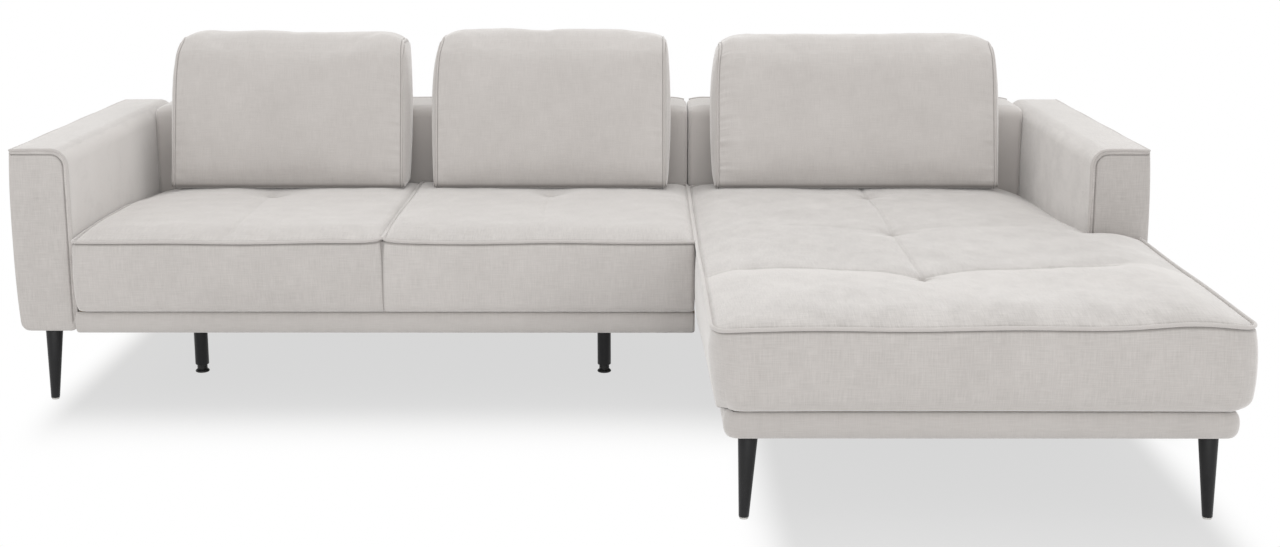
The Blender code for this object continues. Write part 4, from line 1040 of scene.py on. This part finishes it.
    # Painted shade in the creases of the tufts and folds on top, in a line under the piping, and where the
    # two seats meet at the front.
    under_piping = np.exp(-((z1 - WALL_GROOVE_PLACE - z) / 0.0022) ** 2)
    for side, wall in zip(sides, (x - x0, x1 - x)):
        under_piping = np.where((wall < SAME_PLACE) & (side < 0.6), 0.0, under_piping)
    painted_seam_shade = np.maximum(0.20 * pulled(x, y, tufts, folds)[1] * on_top, 0.42 * under_piping)
    if split is not None:
        meeting = np.exp(-np.hypot(x - split, y - y0) / 0.0022) * (1 - on_top)
        painted_seam_shade = np.maximum(painted_seam_shade, 0.8 * meeting * np.clip((z - z0) / (z1 - z0), 0, 1) ** 0.5)
    name = node.replace("_cushion", "_upholstery")
    # The walls and the top take the painted light and shade given.
    cover = make_piece(
        name, swollen, [quads], [flat], upholstery, nap=np.where(on_top, top_nap(rest), wall_nap),
        crush=0.12 + top_crush * on_top, seam=painted_seam_shade)
    fasten(cover, "frame", "upholstery_fabric", node, fill=0.8)

    rear_right = [(x1, y1)] if notch is None else [(x1, notch[1]), notch, (notch[0], y1)]
    seam = even_path([(x0, y0), (x1, y0), *rear_right, (x0, y1), (x0, y0)], 0.004)[:-1]
    seam = shape(np.concatenate([seam, np.full((len(seam), 1), z1)], axis=1))
    seam = even_path(np.concatenate([seam, seam[:1]]), 0.005)[:-1]
    ahead = np.roll(seam, -1, 0) - np.roll(seam, 1, 0)
    outward = unit(np.stack([ahead[:, 1], -ahead[:, 0], np.zeros(len(seam))], axis=1))
    path = seam + outward * PIPING_OUT + np.array([0, 0, PIPING_UP])
    make_cord(name + "_piping", path, piping, (0.0, 0.0, 1.0), closed=True)


def plain_nap(shade):
    """The same painted shading all over a top."""
    return lambda points: shade


for node, corners, sides, reaches, gaps, tuck, at_split, slope, wall_nap, top_nap, seed in (
        ("left_seat_cushion", (0.017, SEAT_SPLIT_RADIUS, SEAT_ROUND, SEAT_SPLIT_RADIUS), (1.0, 0.12),
         (0.050, 0.026, SEAT_CROWN_REACH), (SEAT_BULGE, 0.0), 0.2, 1,
         ((-0.09, 0.0, 0.12, 0.36, 0.50, 0.66), (0.0, 0.005, 0.007, 0.0, -0.011, -0.024)), 0.0, 0.0, 31),
        ("middle_seat_cushion", (SEAT_SPLIT_RADIUS, 0.012, SEAT_SPLIT_RADIUS, SEAT_ROUND), (0.12, 0.3),
         (0.026, 0.040, SEAT_CROWN_REACH), (0.0, 0.002), 0.0, 0, None, 0.20, -0.16, 34)):
    low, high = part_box(node)
    x0, x1, y0, y1 = low.x + gaps[0], high.x - gaps[1], low.y + SEAT_BULGE, high.y - SEAT_BULGE
    middle = (x0 + x1) / 2
    fold = [(middle, SEAT_TUFT_Y), (middle - 0.003, 0.25), (middle + 0.002, 0.08), (middle, y0 + 0.05)]
    make_seat(
        node, (x0, y0, low.z), (x1, y1, SEAT_SEAM_TOP),
        grid_lines(
            x0, 0.003, x0 + 0.024, 0.007, middle - 0.03, 0.004, middle + 0.03, 0.007, x1 - 0.024, 0.003, x1),
        grid_lines(
            y0, 0.003, y0 + 0.024, 0.007, SEAT_TUFT_Y - 0.03, 0.005, SEAT_TUFT_Y + 0.03, 0.01,
            y1 - 0.024, 0.004, y1),
        corners, sides, reaches, [(middle, SEAT_TUFT_Y)], [(fold, 0.0028, 0.020)], seed, wall_nap,
        plain_nap(top_nap), 0.16, tucks=(tuck, 0.0), arm_line=slope and (x0, *slope),
        split=(x0, x1)[at_split])


# Chaise cushion: the same build at full length. It passes in front of the right arm and fills the
# place beside it. Three tufts stand on its middle line, and the cloth folds across at each.

CHAISE_ROUND = 0.072
CHAISE_RIGHT_ROUND = 0.042
CHAISE_RIGHT_SWELL = 0.006
CHAISE_UNDER_RADIUS = 0.032
CHAISE_TAPER = 0.018
CHAISE_PIPING = 0.0040
CHAISE_REACH = 0.085
ARM_GAP = 0.0006
TUFT_ROWS = (0.405, -0.053, -0.511)
FIRST_BOW = 0.085
SECOND_BOW = 0.060

low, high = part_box("chaise_cushion")
arm_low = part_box("right_arm_cover")[0]
x0, x1 = low.x + 0.001, high.x - SEAT_BULGE - CHAISE_RIGHT_SWELL
y0, y1 = low.y + SEAT_BULGE, high.y - SEAT_BULGE
notch = (arm_low.x - ARM_GAP, arm_low.y - ARM_GAP)
middle = (0.282 + arm_low.x) / 2


def bowed(x, row, bow):
    """A line through a tuft that swings back on both sides: row + bow * (1 - exp(-distance / 0.11))."""
    return row + bow * (1 - np.exp(-np.abs(x - middle) / 0.11))


def cross_fold(row, bow, left, right):
    """A bowed fold between two x, which comes forward again by up to 22 mm from 0.33 to 0.53 m away."""
    x = np.linspace(left, right, 25)
    y = bowed(x, row, bow) - 0.022 * np.clip((np.abs(x - middle) - 0.33) / 0.2, 0, 1)
    return list(zip(x, y))


def fold_shading(points):
    """Painted light on the top in front of the first cross fold, painted shade behind it, and a little more
    behind the second.
    """
    x, y, _ = points.T
    first = bowed(x, TUFT_ROWS[2], FIRST_BOW)
    light = np.clip((first - y) / 0.014 + 0.5, 0, 1) * np.exp(-np.clip(first - y, 0, None) / 0.30)
    dark = np.clip((y - bowed(x, TUFT_ROWS[1], SECOND_BOW)) / 0.02 + 0.5, 0, 1)
    return 0.42 * light - 0.36 * (1 - light) - 0.10 * dark


# The chaise's walls carry painted shade, and its top painted light and shade set by the folds.
make_seat(
    "chaise_cushion", (x0, y0, low.z), (x1, y1, SEAT_SEAM_TOP),
    grid_lines(
        x0, 0.003, x0 + 0.024, 0.006, middle - 0.03, 0.003, middle + 0.03, 0.006, notch[0] - 0.012, 0.003,
        notch[0], 0.006, x1 - 0.024, 0.003, x1),
    grid_lines(
        y0, 0.003, y0 + 0.024, 0.007, TUFT_ROWS[2] - 0.03, 0.003, TUFT_ROWS[2] + 0.10, 0.006,
        notch[1] - 0.012, 0.003, notch[1], 0.006, y1 - 0.024, 0.005, y1),
    (CHAISE_ROUND, CHAISE_RIGHT_ROUND, CHAISE_ROUND), (0.6, 1.0),
    (CHAISE_REACH, CHAISE_REACH, SEAT_CROWN_REACH), [(middle, row) for row in TUFT_ROWS],
    [(cross_fold(TUFT_ROWS[2], FIRST_BOW, x0 + 0.012, x1 - 0.16), 0.0052, 0.038),
     (cross_fold(TUFT_ROWS[1], SECOND_BOW, middle - 0.26, notch[0] - 0.16), 0.0016, 0.026),
     (cross_fold(TUFT_ROWS[0], 0.045, middle - 0.20, notch[0] - 0.20), 0.0012, 0.026),
     ([(middle, y1 - 0.04), (middle - 0.002, TUFT_ROWS[0]), (middle + 0.004, 0.18), (middle, TUFT_ROWS[1]),
       (middle - 0.004, -0.28), (middle, TUFT_ROWS[2])], 0.0045, 0.014),
     ([(middle, TUFT_ROWS[2]), (middle + 0.004, y0 + 0.03)], 0.0012, 0.016)],
    37, -0.14, fold_shading, 0.48, notch=notch, steady_corner=1, right_swell=CHAISE_RIGHT_SWELL,
    under_radius=CHAISE_UNDER_RADIUS, tucks=(0.0, 1.0), taper=CHAISE_TAPER,
    arm_line=(notch[0], (-0.10, 0.016, 0.19, 0.416, 0.66), (0.008, 0.005, -0.008, -0.021, -0.031)),
    piping=CHAISE_PIPING)


# Loose back cushions: fibre-filled covers that lean on the back. The front, top and rear are one
# panel, and a gusset closes each side with a flat double-stitched seam, which puckers the cloth.

CUSHION_LEAN = 0.241
CUSHION_FOOT_Y = 0.479
CUSHION_CROWN = 0.010
CUSHION_FILL = 0.010
CUSHION_GUSSET_FILL = 0.003
CUSHION_SHOULDER_REACH = 0.065
CUSHION_TOP_RADIUS = 0.044
CUSHION_FOOT_RADIUS = 0.028
CUSHION_EDGE_RADIUS = 0.010
CUSHION_GUSSET_BULGE = 0.009
CUSHION_THICKNESS = 0.145
SEAM_PLACE = 0.0065
SEAM_BAND = 0.0040
SEAM_BAND_RISE = 0.0016
SEAM_GROOVE = 0.0030
SEAM_GROOVE_WIDTH = 0.0012
CUSHION_WAVES = (0.15, 0.0030)
CUSHION_FINE_WAVES = (0.06, 0.0009)
PUCKER_SIZES = (0.019, 0.027, 0.041)
PUCKER_HEIGHT = 0.0011


def vertex_normals(points, quads):
    """The outward direction at each point: the sum of the cross products of its quads' diagonals."""
    corners = points[quads]
    face = np.cross(corners[:, 2] - corners[:, 0], corners[:, 3] - corners[:, 1])
    total = np.zeros_like(points)
    np.add.at(total, quads.ravel(), np.repeat(face, 4, axis=0))
    return total / np.maximum(np.linalg.norm(total, axis=1), 1e-12)[:, None]


def make_back_cushion(node, body, wider, slopes, shoulders, rises, puckered, seed):
    """A cushion worked out upright, then sheared to its lean. The front swells by
    crown * (1 - |across|**3)(1 - |up|**3), the top falls by a shoulder to each side seam, and the side
    gussets bulge by bulge * 4 * depth * (1 - depth) * (1 - up**2). wider, slopes, shoulders and puckered are
    for left and right: how far a side stands past the plain solid, how far its top leans in and falls, and
    how strongly its seam draws the cloth in. rises are how far the top line stands over the plain solid at
    its left end, middle and right end, with the parabola through them between."""
    low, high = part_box(node)
    left, right = low.x - wider[0], high.x + wider[1]
    width, thick, tall = right - left, CUSHION_THICKNESS, high.z - low.z

    def shape(rest):
        x, y, z = rest.T
        across, up, depth = 2 * x / width - 1, 2 * z / tall - 1, y / thick
        from_side = np.minimum(x, width - x)
        fullness = (1 - np.abs(across) ** 3) * (1 - np.abs(up) ** 3)
        bumps = 0.0015 * np.sin(x * 19 + seed) * np.clip(up, 0, 1) * (1 - np.abs(across) ** 6)
        radii = (CUSHION_FOOT_RADIUS, CUSHION_FOOT_RADIUS, CUSHION_TOP_RADIUS, CUSHION_TOP_RADIUS)
        y, z = round_section(y, z, (0.0, 0.0), (thick, tall), radii)
        x, z = round_section(x, z, (0.0, 0.0), (width, tall), (CUSHION_EDGE_RADIUS,) * 4)
        x, y = round_section(x, y, (0.0, 0.0), (width, thick), (CUSHION_EDGE_RADIUS,) * 4)
        shoulder = np.where(across < 0, shoulders[0], shoulders[1])
        fall = shoulder * (1 - ease(from_side, CUSHION_SHOULDER_REACH, 2.6))
        rise = rises[1] * (1 - across ** 2) + (rises[0] * (across - 1) + rises[2] * (across + 1)) * across / 2
        z = z * (1 - (fall - rise) / tall) + bumps
        y = y + CUSHION_CROWN * (1 - fullness) * (1 - depth)
        gusset = CUSHION_GUSSET_BULGE * 4 * depth * (1 - depth) * (1 - up ** 2)
        x = x + gusset * np.sign(across) * np.abs(across) ** 8
        lean_in = np.where(across < 0, slopes[0], -slopes[1]) * np.clip((up - 0.1) / 0.9, 0, 1) ** 3
        x = x + lean_in * np.abs(across)
        return np.stack([left + x, CUSHION_FOOT_Y + CUSHION_LEAN * z + y, low.z + z], axis=1)

    def held(rest):
        x, y, z = rest.T
        at_seam = np.abs(np.minimum(x, width - x) - SEAM_PLACE) < SAME_PLACE
        return at_seam | (z < SAME_PLACE) | (y > thick - SAME_PLACE)

    def fill(rest):
        inside = ease(np.minimum(rest[:, 0], width - rest[:, 0]), 0.09)
        return CUSHION_GUSSET_FILL + (CUSHION_FILL - CUSHION_GUSSET_FILL) * inside

    rest, quads, flat = block_skin(
        grid_lines(0, 0.0009, 0.016, 0.004, 0.07, 0.007, width - 0.07, 0.004, width - 0.016, 0.0009, width),
        grid_lines(0, 0.003, CUSHION_FOOT_RADIUS, 0.008, thick - CUSHION_FOOT_RADIUS, 0.004, thick),
        grid_lines(0, 0.003, 0.024, 0.0055, tall - CUSHION_TOP_RADIUS, 0.004, tall))
    coarse = (
        grid_lines(0, SEAM_PLACE, SEAM_PLACE, 0.009, width - SEAM_PLACE, SEAM_PLACE, width),
        grid_lines(0, 0.009, thick), grid_lines(0, 0.009, tall))
    made = shape(rest) + blown_up(shape, coarse, held, fill, rest, 1)

    x, y, z = rest.T
    across, up = 2 * x / width - 1, 2 * z / tall - 1
    from_side = np.minimum(x, width - x)
    from_seam = np.abs(from_side - SEAM_PLACE)
    groove = np.exp(-((from_seam - SEAM_BAND) / SEAM_GROOVE_WIDTH) ** 2) * (from_side > SAME_PLACE)
    band = SEAM_BAND_RISE * np.clip(1 - (from_seam / SEAM_BAND) ** 2, 0, 1) ** 0.5 * (from_side > SAME_PLACE)
    inward = np.clip(from_side - SEAM_PLACE - SEAM_BAND, 0, None)
    phase = np.random.default_rng(seed).uniform(0, 6.3, 8)
    height = z + 0.6 * y + 0.004 * np.sin(z * 60 + phase[5])
    ripple = sum(
        np.sin(height * 2 * math.pi / size + phase[i] + 3 * across) for i, size in enumerate(PUCKER_SIZES))
    strength = np.where(across < 0, puckered[0], puckered[1]) * (0.5 + 0.5 * np.clip(-up + 0.6, 0, 1))
    fade = np.clip(np.minimum(z, tall - z) / 0.03, 0, 1) * np.clip(inward / 0.005, 0, 1)
    pucker = PUCKER_HEIGHT * strength * ripple * np.exp(-inward / 0.026) * fade
    swell = soft_waves(made, *CUSHION_WAVES, seed) + soft_waves(made, *CUSHION_FINE_WAVES, seed + 5)
    swell = swell * np.clip(inward / 0.05, 0, 1) * np.clip(z / 0.05, 0, 1)
    relief = band - SEAM_GROOVE * groove + pucker + swell
    # Painted light lifts the whole cover. Painted shade darkens its lower half, more near the foot, in a dark
    # line along the front of the foot where it meets the seat, and in the groove beside each seam.
    foot_shade = (0.72 * np.exp(-(z / 0.007) ** 2) + 0.28 * np.exp(-z / 0.022)) * (y < thick / 2)
    cover = make_piece(
        node.replace("_cushion", "_upholstery"), made + vertex_normals(made, quads) * relief[:, None],
        [quads], [flat], upholstery, crush=0.02,
        nap=0.24 - 0.14 * np.clip(-up, 0, 1) ** 2 - 0.5 * near(z, 0.09) ** 2,
        seam=np.maximum(0.45 * groove, foot_shade))
    fasten(cover, body, "upholstery_fabric", node, fill=0.7)


make_back_cushion(
    "left_back_cushion", "left_cushion", (0.008, 0.003), (0.016, 0.002), (0.019, 0.022),
    (0.003, 0.002, -0.003), (0.5, 0.8), 41)
make_back_cushion(
    "middle_back_cushion", "middle_cushion", (0.0, 0.004), (0.014, 0.0), (0.018, 0.014),
    (0.003, 0.008, -0.003), (0.4, 0.4), 43)
make_back_cushion(
    "right_back_cushion", "right_cushion", (0.003, 0.004), (0.009, 0.008), (0.026, 0.020),
    (-0.010, -0.001, -0.008), (1.5, 0.6), 47)


# Front legs: turned steel tapers with a satin black powder coat, each with a pale nylon glide
# pressed in below. They lean out a little towards the nearest corner.

LEG_TOP = 0.1797
LEG_FOOT = 0.0043
GLIDE_TOP = 0.0044


def powder_coat():
    """Satin black powder coat: a fine orange-peel relief and a little dust in it."""
    coat = Finish("black_powder_coat")
    place = coat.place()
    dust = coat.noise(place, 60.0, 4.0)
    colour = coat.blend(dust, (0.0055, 0.0055, 0.006), (0.012, 0.012, 0.013))
    sockets = {"Base Color": colour, "Roughness": dust * 0.12 + 0.36, "Specular IOR Level": 0.32}
    return coat.surface(sockets, coat.noise(place, 900.0, 2.0), 0.0001)


def moulded_plastic(name, dark, light, roughness):
    """Moulded plastic: a fine grain and a slow change of shade."""
    plastic = Finish(name)
    place = plastic.place()
    grain = plastic.noise(place, 1200.0, 2.0)
    colour = plastic.blend(plastic.noise(place, 120.0, 3.0), dark, light)
    return plastic.surface({"Base Color": colour, "Roughness": grain * 0.12 + roughness}, grain, 0.00008)


black_coat = powder_coat()
pale_nylon = moulded_plastic("pale_nylon", (0.55, 0.54, 0.52), (0.70, 0.69, 0.66), 0.42)
black_nylon = moulded_plastic("black_nylon", (0.010, 0.010, 0.010), (0.022, 0.022, 0.022), 0.45)


def turned(name, foot, head, profile, finish, body, slot, node, sides=48):
    """A turned piece between the middles of its foot and head. profile is rows of how far up, as a share,
    and the radius there."""
    foot, head = np.array(foot), np.array(head)
    shares, radii = np.array(profile).T
    path = foot + (head - foot) * shares[:, None]
    turn = np.arange(sides) * 2 * math.pi / sides
    circle = np.stack([np.cos(turn), np.sin(turn), np.zeros(sides)], axis=1)
    rings = path[:, None] + radii[:, None, None] * circle
    made = make_ringed(name, rings, path[[0, -1]], np.zeros(len(path)), np.zeros(sides + 1), finish)
    made.data.set_sharp_from_angle(angle=math.radians(40))
    fasten(made, body, slot, node)


def rounded_ends(bottom, top, length, edge):
    """A straight taper's profile with both rims rounded by edge."""
    share = edge / length
    return [
        (0.0, bottom - edge), (share * 0.3, bottom - edge * 0.3), (share, bottom),
        (0.5, (bottom + top) / 2), (1 - share, top), (1 - share * 0.3, top - edge * 0.3), (1.0, top - edge)]


for name, foot, head in (
        ("left_arm", (-1.307, -0.0327), (-1.300, -0.0257)),
        ("chaise_left", (0.3573, -0.8172), (0.3643, -0.8102)),
        ("chaise_right", (1.2947, -0.8172), (1.2877, -0.8102))):
    turned(
        name + "_leg_taper", (*foot, LEG_FOOT), (*head, LEG_TOP),
        rounded_ends(0.0105, 0.0205, LEG_TOP - LEG_FOOT, 0.0008), black_coat, "frame", "black_leg_metal",
        name + "_leg")
    turned(
        name + "_nylon_glide", (*foot, 0.0), (*foot, GLIDE_TOP),
        rounded_ends(0.0092, 0.0095, GLIDE_TOP, 0.0010), pale_nylon, "frame", "pale_glide_plastic",
        name + "_glide")


# Rear legs and support legs: straight tubes in the same coat. The two support legs under the seats
# end in a bare threaded neck with a flared foot, which screws in and out on an uneven floor.

TUBE_RADIUS = 0.0175
TUBE_EDGE = 0.0012
THREAD = [(share, 0.0132 - 0.0007 * (i % 2)) for i, share in enumerate(np.linspace(0, 1, 33))]
FLARE = [(0.0, 0.0162), (0.12, 0.0174), (0.3, 0.018), (0.55, 0.0178), (0.8, 0.0160), (1.0, 0.0144)]


def leg_tube(name, node, bottom):
    """A straight leg from the height given to the rails. Returns where it stands."""
    low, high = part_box(node)
    x, y = (low.x + high.x) / 2, (low.y + high.y) / 2
    profile = rounded_ends(TUBE_RADIUS, TUBE_RADIUS, LEG_TOP - bottom, TUBE_EDGE)
    turned(name, (x, y, bottom), (x, y, LEG_TOP), profile, black_coat, "frame", "black_leg_metal", node)
    return x, y


for node in ("sofa_rear_left_leg", "sofa_rear_right_leg", "chaise_rear_left_leg", "chaise_rear_right_leg"):
    leg_tube(node + "_tube", node, 0.0)

for side in ("left", "right"):
    x, y = leg_tube("support_tube_" + side, "support_leg_" + side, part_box("support_leg_" + side)[0].z)
    low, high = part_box("support_stem_" + side)
    turned(
        "support_neck_" + side, (x, y, low.z), (x, y, high.z), THREAD, black_nylon,
        side + "_stem", "black_plastic", "support_stem_" + side)
    turned(
        "support_foot_" + side, (x, y, 0.0), (x, y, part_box("support_pad_" + side)[1].z), FLARE, black_nylon,
        side + "_pad", "black_plastic", "support_pad_" + side)


# Link: a zinc-plated plate under the seam between the two sections, held by a screw in each.

refinish("^link_", drawn_steel("zinc_plate", (0.62, 0.63, 0.64), 0.28))
